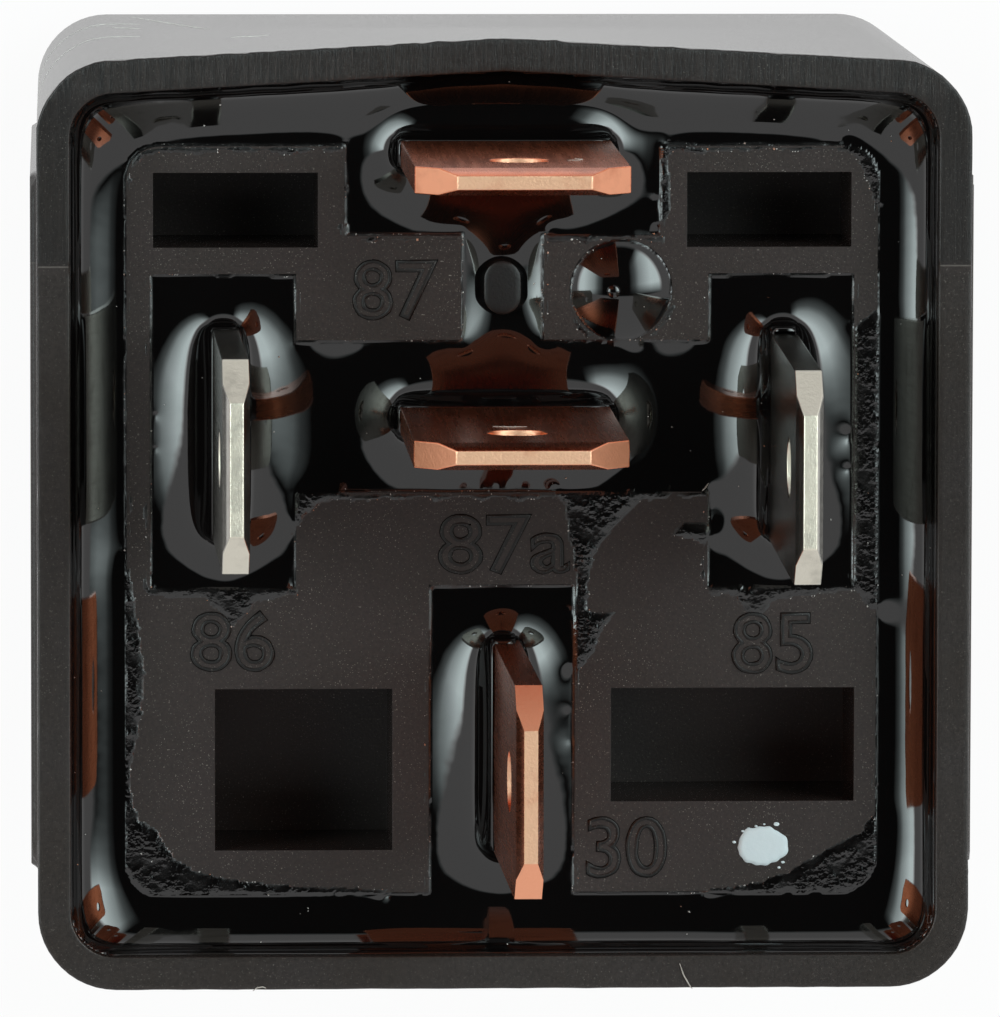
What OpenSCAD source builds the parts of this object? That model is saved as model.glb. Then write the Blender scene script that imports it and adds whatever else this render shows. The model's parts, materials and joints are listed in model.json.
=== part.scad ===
// Change-over relay in a square moulded can, with five 6.3 mm blade terminals.
// The relay stands on the closed end of its can, with its blades pointing up (+Z).
// The origin is the middle of that closed end. The contacts are on the +Y side, the hinge on the -Y side.

/* [Can] */
// Side of the square can, outside
can_w = 28; // [27.5:0.1:30]
// Height of the can, from its closed end to its rim
can_h = 25.5; // [24.5:0.1:29]
// Wall of the can
can_wall = 1; // [0.8:0.05:1.1]
// Thickness of the closed end
can_end = 1.2; // [0.9:0.1:1.6]
// Outside radius of the four upright corners
can_corner = 2.35; // [1.6:0.05:3]
// How far each side leans in between the rim and the closed end
can_draft = 0.16; // [0:0.02:0.3]
// Rounding of the edges of the closed end
can_edge = 0.9; // [0.4:0.1:1.4]
// How far the rim of the contact-side wall bows outwards
rim_bow = 0.65; // [0.2:0.05:1]
// Width of the raised panel on three sides
panel_w = 21; // [16:0.5:22]
// How far each panel stands proud
panel_rise = 0.2; // [0.1:0.05:0.4]
// Plain band between a panel and the rim
panel_band = 1.6; // [0.8:0.1:4]
// Plain band between a panel and the closed end
panel_foot = 2.4; // [1.5:0.1:5]
// Corner radius of the panels
panel_corner = 0.5; // [0.2:0.1:2]

/* [Base] */
// Depth of the base's face below the rim
base_recess = 1.7; // [1.2:0.1:2]
// Thickness of the base moulding
base_t = 5.4; // [5:0.1:5.8]
// Running gap between the base and the wall of the can
base_gap = 0.05; // [0.03:0.01:0.1]
// Width of the sealing moat round the raised face
moat_w = 1.7; // [1.4:0.1:2]
// Depth of the moat and of the wells round the blades
moat_depth = 2.4; // [2:0.1:2.8]
// Corner radius of the raised face
face_corner = 1; // [0.5:0.1:1.5]
// Clear space in a well beside the flat of a blade
well_side = 1.8; // [1.5:0.1:2]
// Clear space in a well past the edge of a blade
well_end = 1.6; // [1.4:0.1:1.8]
// Clear space in the well of 87a beside the flat of the blade
inner_side = 1.9; // [1.5:0.05:2.3]
// Clear space in the well of 87 beside the flat of the blade
outer_side = 2.15; // [1.9:0.05:2.3]
// Half the width of the channel that joins the two contact wells
channel_half = 1.25; // [1:0.05:1.5]
// Depth of the core-out pockets
pocket_depth = 4.7; // [3:0.1:4.8]
// Plastic left round the pockets by the contact-side corners
pocket_wall = 0.8; // [0.6:0.05:1]
// Width of the wide pocket by terminal 30
wide_pocket_w = 7.35; // [5:0.05:7.6]
// Length of the wide pocket by terminal 30
wide_pocket_l = 3.45; // [2.5:0.05:5]
// Width of the long pocket by terminal 30
long_pocket_w = 5.35; // [4:0.05:7.6]
// Length of the long pocket by terminal 30
long_pocket_l = 4.9; // [4:0.05:5.4]
// Plastic between those pockets and the well of terminal 30
pocket_land = 1.1; // [0.8:0.1:1.4]
// Distance of those pockets from the middle of the base
pocket_y = 5.1; // [4.8:0.1:5.4]
// Radius of the filling hole
fill_r = 1.55; // [1.2:0.05:1.6]
// Distance of the filling hole from the middle, along X
fill_x = 3.57; // [3.3:0.01:3.8]
// Distance of the filling hole from the middle, along Y
fill_y = 6.95; // [6.8:0.01:7.1]
// Width of the post in the channel between the contact wells
post_w = 1.1; // [0.8:0.05:1.3]
// Length of that post
post_l = 1.6; // [1.3:0.05:2]
// Radius of the two posts that are staked through the yoke
stake_r = 0.8; // [0.6:0.05:1]
// Width of the shoulders of those posts, on which the yoke lies
stake_shoulder = 0.7; // [0.4:0.05:0.9]
// Distance of each post from the side of the yoke
stake_inset = 1.7; // [1.5:0.05:2]
// Distance of the rear post from the back of the yoke
stake_back = 3.2; // [3:0.1:3.6]
// Distance of the front post from the core's axis, along Y
stake_front = 1.3; // [1:0.1:1.6]

/* [Sealing resin] */
// Level of the resin below the base's face
resin_drop = 0.1; // [0.05:0.05:0.3]
// Height that the resin has climbed on the blades above the base's face
resin_climb = 1.4; // [1:0.1:1.7]
// Width of the hollow sweep in which the resin climbs a blade
collar_creep = 1.75; // [1.4:0.05:1.8]
// How far in from the edge of a blade that sweep begins to turn round it
collar_turn = 1; // [0.8:0.05:1.2]
// Drop from the rim to the edge of the resin on the can's wall
wall_drop = 0.3; // [0.1:0.05:0.6]
// Width of the hollow sweep in which the resin climbs the can's wall
wall_creep = 1.7; // [1.2:0.05:1.7]
// Height to which the resin stands between terminal 87 and the wall, above the base's face
bridge_climb = 1.1; // [0.8:0.1:1.2]
// Radius of the domed drop that closes the filling hole
drop_r = 2.4; // [2.1:0.1:3]

/* [Terminals] */
// Width of a blade
blade_w = 6.3; // [5.8:0.1:6.8]
// Thickness of the blades and of their strips
blade_t = 0.8; // [0.7:0.05:0.9]
// Length of a blade past the rim
blade_reach = 11; // [9:0.1:13]
// Thickness left at the tapered tip of a blade
tip_neck = 0.4; // [0.3:0.05:0.5]
// Length of the taper on the flats of a tip
tip_length = 0.55; // [0.4:0.05:0.9]
// Size of the cut across each corner of a tip
tip_corner = 1.2; // [0.8:0.1:1.4]
// Radius of the detent hole
detent_r = 0.9; // [0.7:0.05:1]
// Distance of the detent hole from the tip
detent_at = 3.5; // [3:0.1:5]
// Distance between the coil terminals 85 and 86
coil_pitch = 16.8; // [16.4:0.1:17]
// Distance of the line of coil terminals from the middle of the base
coil_line = 2.7; // [2.4:0.05:2.9]
// Distance from the coil line to terminal 30
pitch_30 = 9.4; // [9.1:0.1:9.5]
// Distance from the coil line to terminal 87
pitch_87 = 8.45; // [8.2:0.05:8.6]
// Distance from the coil line to terminal 87a
pitch_87a = 0.45; // [0.2:0.05:0.7]
// Gap between a blade and its slot
slot_gap = 0.04; // [0.02:0.01:0.08]
// Width of the strips that carry the fixed contacts
strip_w = 4.6; // [4:0.1:5.4]
// Width of the upright strip from 87a and of the tails of 85 and 86
riser_w = 2.4; // [1.8:0.1:2.8]
// Clear space between the bobbin and the upright strip of 87a
riser_gap = 2.1; // [1:0.1:2.2]
// Clear space between the contact strips and the upright strip of 87a
riser_side = 1.7; // [1:0.1:2]
// Length of the tails of 85 and 86 below the base
tail_l = 4.6; // [3:0.1:6]
// Width of the foot of terminal 30
foot_w = 3.4; // [2.4:0.1:4]
// Length of the tab that takes the braid
tab_l = 3; // [2:0.1:4]
// Clear space between the yoke and that tab
tab_side = 2.4; // [1.5:0.1:2.8]

/* [Contacts] */
// Radius of the fixed and moving contacts
contact_r = 1.5; // [1.2:0.05:1.7]
// Height of a fixed contact's head
contact_h = 0.4; // [0.3:0.05:0.6]
// Height of each head of the moving contact
mover_h = 0.5; // [0.4:0.05:0.7]
// Radius of the domed faces of the moving contact
mover_dome = 8; // [5:0.5:12]
// Radius of the contact rivets' shanks
shank_r = 0.7; // [0.5:0.05:0.8]
// Radius of the upset end of a fixed contact
upset_r = 1.2; // [1.1:0.05:1.3]
// Height of the upset end of a fixed contact
upset_h = 0.3; // [0.2:0.05:0.4]
// Travel of the moving contact
contact_gap = 0.9; // [0.5:0.05:1.2]
// Clearance left between contacts that are closed
contact_touch = 0.03; // [0.02:0.01:0.05]
// Distance from terminal 87 to the middle of the contacts
contact_set = 1.85; // [1.7:0.05:2.1]
// How far a strip runs past the head of its contact
contact_lap = 0.2; // [0.1:0.05:0.4]
// Clear space between the 87a strip and the closed end of the can
strip_clear = 0.5; // [0.4:0.05:0.8]

/* [Magnet] */
// Thickness of the yoke
yoke_t = 1.6; // [1.3:0.1:1.8]
// Width of the yoke and of the armature
yoke_w = 14; // [12:0.5:15]
// Room for the return spring between the yoke and the can
spring_bay = 2.6; // [2.4:0.1:2.8]
// How far the foot of the yoke runs past the core
foot_lap = 2; // [1.5:0.1:2.5]
// Width of the ears that locate the armature
ear_w = 1; // [0.7:0.1:1.3]
// Thickness of the armature
armature_t = 1.4; // [1.1:0.1:1.6]
// Distance from the rivets to the free end of the armature
armature_lap = 1.1; // [1:0.05:1.3]
// Side clearance between the armature and the ears
ear_gap = 0.2; // [0.15:0.05:0.3]
// Gap left between the pulled-in armature and the pole
pole_gap = 0.05; // [0.04:0.01:0.1]
// Radius of the pole face
pole_r = 3.9; // [3.4:0.1:4.4]
// Thickness of the pole face
pole_t = 0.9; // [0.7:0.1:1.2]
// Radius of the core
core_r = 2.5; // [2:0.1:2.8]
// Radius of the core's riveted tail
core_tail_r = 1.8; // [1.4:0.1:1.9]
// Side of the bobbin's square flanges
flange_w = 12.6; // [12:0.1:13]
// Thickness of the flanges
flange_t = 0.8; // [0.6:0.1:1]
// Wall of the bobbin's tube
bobbin_wall = 0.55; // [0.4:0.05:0.7]
// Outside radius of the winding
coil_r = 5.8; // [5.2:0.1:5.9]
// Clearance between parts of the magnet that slip together
slip = 0.04; // [0.02:0.01:0.08]

/* [Contact spring and leads] */
// Thickness of the leaf
leaf_t = 0.25; // [0.15:0.05:0.35]
// Width of the leaf on the armature
leaf_w = 8; // [6:0.5:10]
// Width of the leaf at the contact
leaf_end_w = 4.2; // [3.4:0.1:4.8]
// How far the leaf narrows past the end of the armature
leaf_taper = 1; // [0.6:0.1:1.4]
// How far the leaf reaches back past the core's axis
leaf_back = 2; // [0:0.1:4]
// Distance between the two rivets
rivet_pitch = 5.2; // [4:0.1:6]
// Clear space between the pole and the middle of the rivets
rivet_set = 1.5; // [1.3:0.1:1.8]
// Radius of the rivets' shanks
rivet_r = 0.6; // [0.5:0.05:0.7]
// Radius of the rivets' heads
rivet_head_r = 0.95; // [0.85:0.05:1.1]
// Height of the rivets' heads
rivet_h = 0.35; // [0.25:0.05:0.4]
// Wire of the return spring
spring_wire = 0.32; // [0.25:0.01:0.4]
// Outside diameter of the return spring
spring_d = 1.7; // [1.4:0.1:1.9]
// Turns of the return spring
spring_turns = 9; // [6:1:12]
// Length of the hooks of the return spring
hook_l = 0.9; // [0.7:0.1:1.2]
// Clear space round a hook in its hole
hook_room = 0.25; // [0.15:0.05:0.35]
// How far a hook stands past what it holds
hook_past = 0.3; // [0.2:0.05:0.4]
// Length of the bent end of a hook
hook_bend = 0.8; // [0.5:0.1:1]
// Metal left round the hole of a hook
hook_land = 0.6; // [0.4:0.1:0.8]
// Distance from the foot of the yoke to the tab that holds the spring
spring_tab = 3.4; // [3:0.1:4.5]
// Diameter of the braid
braid_d = 1; // [0.7:0.1:1.2]
// Diameter of the coil's lead wires
lead_d = 0.3; // [0.2:0.05:0.4]

/* [Hidden] */
$fn = 48;
sliver = 0.01;       // slices that hulls are drawn between, and laps that join what would only touch
overcut = 1;         // how far a cutter runs past the face that it opens

// The can and the base
can_half = can_w / 2;
bore_half = can_half - can_wall;
face_half = bore_half - moat_w;
bow_z = can_h / 3;
face_z = can_h - base_recess;
ledge_z = face_z - moat_depth;
base_z = face_z - base_t;
resin_z = face_z - resin_drop;
lean_deg = atan(can_draft / can_h);

// The terminals: the middle of each blade
tip_z = can_h + blade_reach;
at_85 = [coil_pitch / 2, coil_line];
at_86 = [-coil_pitch / 2, coil_line];
at_30 = [0, coil_line - pitch_30];
at_87 = [0, coil_line + pitch_87];
at_87a = [0, coil_line + pitch_87a];
well_long = blade_w / 2 + well_end;
well_short = blade_t / 2 + well_side;
inner_short = blade_t / 2 + inner_side;
outer_short = blade_t / 2 + outer_side;
well_join = at_87[1] - outer_short;
pocket_x = well_short + pocket_land;

// Heights, counted from the closed end of the can
nc_strip_z = can_end + strip_clear;
nc_face_z = nc_strip_z + blade_t + contact_h;
leaf_z = nc_face_z + contact_touch + mover_h + contact_gap;
armature_z = leaf_z + leaf_t;
hinge_z = armature_z + armature_t;
pole_z = hinge_z + pole_gap;
no_face_z = armature_z + mover_h + contact_touch;
no_strip_z = no_face_z + contact_h;
foot_z = base_z - blade_t;
yoke_z = foot_z - yoke_t;
bobbin_z = pole_z + pole_t;

// Places along Y
hinge_y = spring_bay - bore_half;
yoke_in_y = hinge_y + yoke_t;
coil_y = yoke_in_y + slip + flange_w / 2;
spring_y = hinge_y - spring_bay / 2;
contact_y = at_87[1] - contact_set;
riser_y = coil_y + flange_w / 2 + riser_gap;
rivet_y = coil_y + pole_r + rivet_set;
armature_end = rivet_y + armature_lap;
open_deg = asin(contact_gap / (contact_y - hinge_y));

// The return spring hangs between the armature's tail and a tab of the yoke
tail_half = spring_d / 2 + hook_land;
tail_end = spring_y - spring_d / 2;
hook_r = spring_wire / 2 + hook_room;
tab_z = yoke_z - spring_tab;

// The tab of terminal 30 stands beside the coil
tab_x = yoke_w / 2 + tab_side;
tab_y = at_30[1] - blade_w / 2 + foot_w;

// The two posts that hold the yoke, and the two rivets that hold the leaf
stake_at = [[yoke_w / 2 - stake_inset, hinge_y + stake_back],
            [stake_inset - yoke_w / 2, coil_y + stake_front]];
rivet_at = [[-rivet_pitch / 2, rivet_y], [rivet_pitch / 2, rivet_y]];

// The braid runs from the tab of terminal 30, round the coil, to the leaf
braid_y = armature_end + leaf_taper + braid_d / 2;
braid_z = armature_z + braid_d / 2 + slip - contact_gap * (braid_y - hinge_y) / (contact_y - hinge_y);
braid_from = [-tab_x - blade_t / 2, tab_y - foot_w / 2, foot_z - tab_l - 0.1];
braid_route = [braid_from,
               braid_from - [0, 0, 1.4],
               [-9.6, tab_y, 10.5],
               [-9.3, -1.5, 8.6],
               [-8, 3, 7.2],
               [-5.4, braid_y, braid_z + 1.1],
               [-2.8, braid_y, braid_z + 0.1],
               [-1.6, braid_y, braid_z],
               [-0.4, braid_y, braid_z]];

// A lead leaves the winding near its top and runs to the tail of its terminal
lead_from = [coil_r + lead_d / 2 + slip, coil_y - 2, yoke_z - flange_t - 1.6];
lead_to = [coil_pitch / 2 - blade_t / 2 - sliver, coil_line - riser_w / 2, lead_from[2] + 0.6];
lead_route = [lead_from,
              lead_from + [0.1, 1, 0.2],
              lead_from + [0.5, 2.6, 0.6],
              [(lead_from[0] + lead_to[0]) / 2, lead_to[1] - 0.5, lead_to[2]],
              lead_to];

// ---------------------------------------------------------------- general shapes

// A box given by its two opposite corners
module span(low, high) translate(low) cube(high - low);

module rounded(size, r) offset(r) square(size - [2 * r, 2 * r], center = true);

// The plan of the can, moved inwards by inset
module can_plan(inset) {
    rounded([can_w - 2 * inset, can_w - 2 * inset], max(can_corner - inset, sliver));
}

// The wedge of space by which the contact-side wall leans out towards the rim,
// from a root that stands back from the upright plane of that wall
module bow(inset, root_back = 0) {
    half = can_half - can_corner;
    side = can_half - inset;
    root = side - root_back;
    hull() {
        translate([0, 0, can_h - sliver])
            linear_extrude(sliver)
                polygon([[-half, side - sliver], [half, side - sliver],
                         [half, side], [0, side + rim_bow], [-half, side]]);
        span([-half, root - sliver, bow_z], [half, root, bow_z + sliver]);
    }
}

// How far the middle of that wall stands out at a height
function bow_at(z) = rim_bow * (z - bow_z) / (can_h - bow_z);

// Everything inside the can's wall between two heights
module bore_fill(z0, z1) {
    intersection() {
        union() {
            translate([0, 0, z0]) linear_extrude(z1 - z0) can_plan(can_wall);
            bow(can_wall);
        }
        span([-can_w, -can_w, z0], [can_w, can_w, z1]);
    }
}

// A round wire or rope through the points given, one ring of points at each
function unit(v) = v / norm(v);
function heading(path, i) =
    unit(path[min(i + 1, len(path) - 1)] - path[max(i - 1, 0)]);
function side_of(d) = unit(cross(d, abs(d[2]) > 0.9 ? [0, 1, 0] : [0, 0, 1]));
function carried(path, i, side) =
    let (d = heading(path, i)) unit(side - d * (side * d));
function sides(path, i = 0, side = undef) =
    i >= len(path) ? []
    : let (s = i == 0 ? side_of(heading(path, 0)) : carried(path, i, side))
      concat([s], sides(path, i + 1, s));
function bend(a, b, c, d, t) =
    0.5 * (2 * b + (c - a) * t + (2 * a - 5 * b + 4 * c - d) * t * t
           + (3 * b - a - 3 * c + d) * t * t * t);
function smooth(p, steps) = concat(
    [for (i = [0 : len(p) - 2], k = [0 : steps - 1])
        bend(p[max(i - 1, 0)], p[i], p[i + 1], p[min(i + 2, len(p) - 1)], k / steps)],
    [p[len(p) - 1]]);

module wire(path, r, n = 8) {
    s = sides(path);
    rings = len(path);
    points = [for (i = [0 : rings - 1], k = [0 : n - 1])
        let (d = heading(path, i), a = 360 * k / n)
        path[i] + r * (cos(a) * s[i] + sin(a) * cross(d, s[i]))];
    walls = [for (i = [0 : rings - 2], k = [0 : n - 1])
        let (a = i * n + k, b = i * n + (k + 1) % n) each [[a, a + n, b], [b, a + n, b + n]]];
    start = [for (k = [0 : n - 1]) k];
    end = [for (k = [n - 1 : -1 : 0]) (rings - 1) * n + k];
    polyhedron(points, concat([start], walls, [end]));
}

// A rivet through a sheet that lies between z = 0 and z = grip: its head is on top, its upset end below
module rivet(r, grip, head, upset) {
    cylinder(r = r, h = grip);
    translate([0, 0, -upset[1]]) cylinder(r = upset[0], h = upset[1]);
    translate([0, 0, grip]) cylinder(r = head[0], h = head[1]);
}

// Turns the parts of the armature from pulled in to resting open
module opened() {
    translate([0, hinge_y, hinge_z])
        rotate([-open_deg, 0, 0])
            translate([0, -hinge_y, -hinge_z]) children();
}

// ---------------------------------------------------------------- the can

// A raised panel on the side that faces the given way. It leans with its wall, and is rooted in it.
module panel(turn) {
    root = can_wall / 4;
    tall = can_h - panel_band - panel_foot;
    rotate([0, 0, turn])
        translate([0, can_half, can_h])
            rotate([-lean_deg, 0, 0])
                translate([0, -root, -panel_band - tall / 2])
                    rotate([-90, 0, 0])
                        linear_extrude(root + panel_rise) rounded([panel_w, tall], panel_corner);
}

module can_outside() {
    steps = 4;
    hull() {
        for (i = [0 : steps])
            let (a = 90 * i / steps)
            translate([0, 0, can_edge * (1 - sin(a))])
                linear_extrude(sliver) can_plan(can_draft + can_edge * (1 - cos(a)));
        translate([0, 0, can_h - sliver]) linear_extrude(sliver) can_plan(0);
    }
    bow(0, can_draft * (1 - bow_z / can_h));
}

module cover() {
    color("#26221f") {
        difference() {
            can_outside();
            translate([0, 0, can_end]) linear_extrude(can_h) can_plan(can_wall);
            bow(can_wall);
        }
        panel(90);
        panel(180);
        panel(-90);
    }
}

// ---------------------------------------------------------------- the base

module face_plan() rounded([2 * face_half, 2 * face_half], face_corner);

module plan_box(centre, half) {
    translate(centre - half) square(2 * half);
}

// The plan of the wells and channels that are sunk into the face
module well_plan() {
    plan_box(at_85, [well_short, well_long]);
    plan_box(at_86, [well_short, well_long]);
    plan_box(at_87a, [coil_pitch / 2, inner_short]);
    plan_box(at_87, [well_long, outer_short]);
    plan_box(at_30, [well_short, well_long]);
    translate([-well_short, -can_half]) square([2 * well_short, can_half + at_30[1]]);
    translate([-channel_half, at_87a[1]]) square([2 * channel_half, well_join - at_87a[1] + sliver]);
}

// The post stands in the channel, between the walls that end it
module post_plan() {
    run = (post_l - post_w) / 2;
    translate([0, (at_87a[1] + inner_short + well_join) / 2]) {
        square([post_w, 2 * run], center = true);
        for (end = [-run, run]) translate([0, end]) circle(r = post_w / 2);
    }
}

// What stands above the ledge: the face between the wells, and the post
module land_plan() {
    difference() {
        face_plan();
        well_plan();
        translate([fill_x, fill_y]) circle(r = fill_r);
    }
    post_plan();
}

// One half of the corner pockets: the two by the contact side are alike
module corner_pocket() {
    low = [well_long + pocket_wall, at_85[1] + well_long + pocket_wall];
    translate(low) square([face_half, face_half] - low - [pocket_wall, pocket_wall]);
}

module pocket_plan() {
    corner_pocket();
    mirror([1, 0]) corner_pocket();
    translate([-pocket_x - long_pocket_w, -pocket_y - long_pocket_l]) square([long_pocket_w, long_pocket_l]);
    translate([pocket_x, -pocket_y - wide_pocket_l]) square([wide_pocket_w, wide_pocket_l]);
}

// The posts run through the foot of the yoke, which lies on their shoulders
module stakes() {
    for (at = stake_at) {
        translate([at[0], at[1], yoke_z + slip]) cylinder(r = stake_r, h = base_z - yoke_z - slip + overcut);
        translate([at[0], at[1], foot_z]) cylinder(r = stake_r + stake_shoulder, h = blade_t + overcut);
    }
}

module base() {
    color("#2b2724")
    difference() {
        union() {
            translate([0, 0, base_z])
                linear_extrude(ledge_z - base_z)
                    can_plan(can_wall + base_gap);
            translate([0, 0, ledge_z - sliver])
                linear_extrude(face_z - ledge_z + sliver) land_plan();
            stakes();
        }
        translate([0, 0, face_z - pocket_depth])
            linear_extrude(pocket_depth + overcut) pocket_plan();
        blade_slots(base_z - overcut);
    }
}

// ---------------------------------------------------------------- the blades

module place(at, along_y) {
    translate(at) rotate([0, 0, along_y ? 90 : 0]) children();
}

module at_every_blade() {
    place(at_85, true) children();
    place(at_86, true) children();
    place(at_30, true) children();
    place(at_87, false) children();
    place(at_87a, false) children();
}

// A blade that runs along X, from the height given up to its tip.
// Both flats taper at the tip, and a cut across each corner leads it into its socket.
module blade(from_z) {
    half = blade_w / 2;
    difference() {
        intersection() {
            translate([-half, 0, 0])
                rotate([90, 0, 90])
                    linear_extrude(blade_w)
                        polygon([[-blade_t / 2, from_z], [blade_t / 2, from_z],
                                 [blade_t / 2, tip_z - tip_length], [tip_neck / 2, tip_z],
                                 [-tip_neck / 2, tip_z], [-blade_t / 2, tip_z - tip_length]]);
            translate([0, blade_t, 0])
                rotate([90, 0, 0])
                    linear_extrude(2 * blade_t)
                        polygon([[-half, from_z], [half, from_z], [half, tip_z - tip_corner],
                                 [half - tip_corner, tip_z], [tip_corner - half, tip_z],
                                 [-half, tip_z - tip_corner]]);
        }
        translate([0, 0, tip_z - detent_at])
            rotate([90, 0, 0]) cylinder(r = detent_r, h = 2 * blade_t, center = true);
    }
}

module blade_slots(from_z) {
    at_every_blade()
        translate([0, 0, (from_z + tip_z) / 2])
            cube([blade_w + 2 * slot_gap, blade_t + 2 * slot_gap, tip_z - from_z], center = true);
}

module coil_terminal() {
    place(at_85, true) blade(base_z - sliver);
    span([at_85[0] - blade_t / 2, coil_line - riser_w, base_z - tail_l],
         [at_85[0] + blade_t / 2, coil_line, base_z]);
}

module terminal_85() {
    color("#c9c7bd") coil_terminal();
}

module terminal_86() {
    color("#c9c7bd") mirror([1, 0, 0]) coil_terminal();
}

// Terminal 30 stands on the foot of the yoke and carries a tab for the braid
module terminal_30() {
    low_y = at_30[1] - blade_w / 2;
    color("#d98a5e") {
        place(at_30, true) blade(base_z - sliver);
        span([-tab_x - blade_t, low_y, foot_z], [blade_t / 2, tab_y, base_z]);
        span([-tab_x - blade_t, low_y, foot_z - tab_l], [-tab_x, tab_y, foot_z]);
    }
}

// Terminal 87 turns under the moving contact, on the side of the base
module terminal_87() {
    strip_end = contact_y - contact_r - contact_lap;
    color("#d98a5e")
    difference() {
        union() {
            place(at_87, false) blade(base_z - sliver);
            span([-strip_w / 2, at_87[1] - blade_t / 2, no_strip_z], [strip_w / 2, at_87[1] + blade_t / 2, base_z]);
            span([-strip_w / 2, strip_end, no_strip_z], [strip_w / 2, at_87[1], no_strip_z + blade_t]);
        }
        translate([0, contact_y, no_strip_z - overcut]) cylinder(r = shank_r + slip, h = blade_t + 2 * overcut);
    }
}

// Terminal 87a steps sideways, runs down past the leaf and turns under it
module terminal_87a() {
    riser_x = strip_w / 2 + riser_side;
    out_x = riser_x + riser_w;
    color("#d98a5e")
    difference() {
        union() {
            place(at_87a, false) blade(base_z - sliver);
            span([-blade_w / 2, at_87a[1] - blade_t / 2, foot_z], [out_x, riser_y + blade_t, base_z]);
            span([riser_x, riser_y, nc_strip_z], [out_x, riser_y + blade_t, foot_z]);
            span([-strip_w / 2, riser_y, nc_strip_z], [out_x, contact_y + contact_r + contact_lap, nc_strip_z + blade_t]);
        }
        translate([0, contact_y, nc_strip_z - overcut]) cylinder(r = shank_r + slip, h = blade_t + 2 * overcut);
    }
}

// ---------------------------------------------------------------- the sealing resin

// The resin climbs what it wets in a hollow sweep: full height at the wet face, none at the end of its creep
function sweep(part) = (1 - part) * (1 - part);

// The sweep round a blade that runs along X. It turns round the edges of the blade and is lower there.
module collar() {
    half = blade_w / 2 - collar_turn;
    rise = face_z + resin_climb - resin_z;
    steps = 6;
    section = concat([[0, 0], [0, rise]],
                     [for (i = [0 : steps]) [blade_t / 2 + collar_creep * i / steps, rise * sweep(i / steps)]]);
    translate([0, 0, resin_z])
        for (turn = [0, 180])
            rotate([0, 0, turn]) {
                translate([half, 0, 0])
                    rotate([0, 0, -90]) rotate_extrude(angle = 180) polygon(section);
                translate([-half, 0, 0])
                    rotate([90, 0, 90]) linear_extrude(2 * half) polygon(section);
            }
}

// The air over the resin, bounded by the sweep up the can's wall.
// The sweeps of two walls run together in each corner, rounder the lower they are.
module air() {
    steps = 6;
    rise = can_h - wall_drop - resin_z;
    hull()
        for (i = [0 : steps])
            let (creep = sliver + wall_creep * i / steps, z = resin_z + rise * sweep(i / steps))
            translate([0, 0, z]) {
                linear_extrude(sliver) rounded(2 * (bore_half - creep) * [1, 1], can_corner - can_wall + creep);
                translate([0, bore_half + bow_at(z) - creep - sliver / 2, sliver / 2]) cube(sliver, center = true);
            }
}

// The resin that stands proud of its level: round the blades, behind terminal 87 and in the filling hole
module proud() {
    at_every_blade() collar();
    span([-blade_w / 2, at_87[1], resin_z], [blade_w / 2, can_w, face_z + bridge_climb]);
    translate([fill_x, fill_y, face_z - sqrt(drop_r * drop_r - fill_r * fill_r)]) sphere(drop_r);
}

module potting() {
    top = can_h - wall_drop;
    color("#0e0a09")
    difference() {
        union() {
            difference() {
                bore_fill(ledge_z, top);
                air();
            }
            intersection() {
                bore_fill(ledge_z, top);
                proud();
            }
        }
        translate([0, 0, ledge_z - overcut]) linear_extrude(base_t) land_plan();
        at_every_blade() span([-blade_w / 2, -blade_t / 2, base_z], [blade_w / 2, blade_t / 2, tip_z]);
    }
}

// ---------------------------------------------------------------- the magnet

module yoke() {
    half = yoke_w / 2;
    color("#8f9296")
    difference() {
        union() {
            span([-half, hinge_y, pole_z], [half, yoke_in_y, foot_z]);
            span([-half, hinge_y, yoke_z], [half, coil_y + core_tail_r + foot_lap, foot_z]);
            for (side = [-1, 1])
                translate([side * (half - ear_w / 2), (hinge_y + yoke_in_y) / 2, (armature_z + pole_z) / 2])
                    cube([ear_w, yoke_t, pole_z - armature_z + sliver], center = true);
            span([-tail_half, tail_end, tab_z], [tail_half, hinge_y + sliver, tab_z + blade_t]);
        }
        translate([0, coil_y, yoke_z - overcut]) cylinder(r = core_tail_r + slip, h = yoke_t + 2 * overcut);
        translate([0, spring_y, tab_z - overcut]) cylinder(r = hook_r, h = blade_t + 2 * overcut);
        for (at = stake_at)
            translate([at[0], at[1], yoke_z - overcut]) cylinder(r = stake_r + slip, h = yoke_t + 2 * overcut);
    }
}

module core() {
    color("#a5a7aa")
    translate([0, coil_y, 0]) {
        translate([0, 0, pole_z]) cylinder(r = pole_r, h = pole_t);
        translate([0, 0, pole_z]) cylinder(r = core_r, h = yoke_z - pole_z);
        translate([0, 0, yoke_z - sliver]) cylinder(r = core_tail_r, h = yoke_t + sliver);
    }
}

module flange() {
    linear_extrude(flange_t) rounded([flange_w, flange_w], 1);
}

module bobbin() {
    tall = yoke_z - bobbin_z;
    color("#e4dfd0")
    translate([0, coil_y, bobbin_z])
    difference() {
        union() {
            flange();
            translate([0, 0, tall - flange_t]) flange();
            cylinder(r = core_r + slip + bobbin_wall, h = tall);
        }
        translate([0, 0, -overcut]) cylinder(r = core_r + slip, h = tall + 2 * overcut);
    }
}

module coil() {
    inner = core_r + slip + bobbin_wall + slip;
    color("#a8431f")
    translate([0, coil_y, 0])
        rotate_extrude()
            translate([inner, bobbin_z + flange_t + slip])
                square([coil_r - inner, yoke_z - bobbin_z - 2 * (flange_t + slip)]);
}

// ---------------------------------------------------------------- the moving parts

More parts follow.
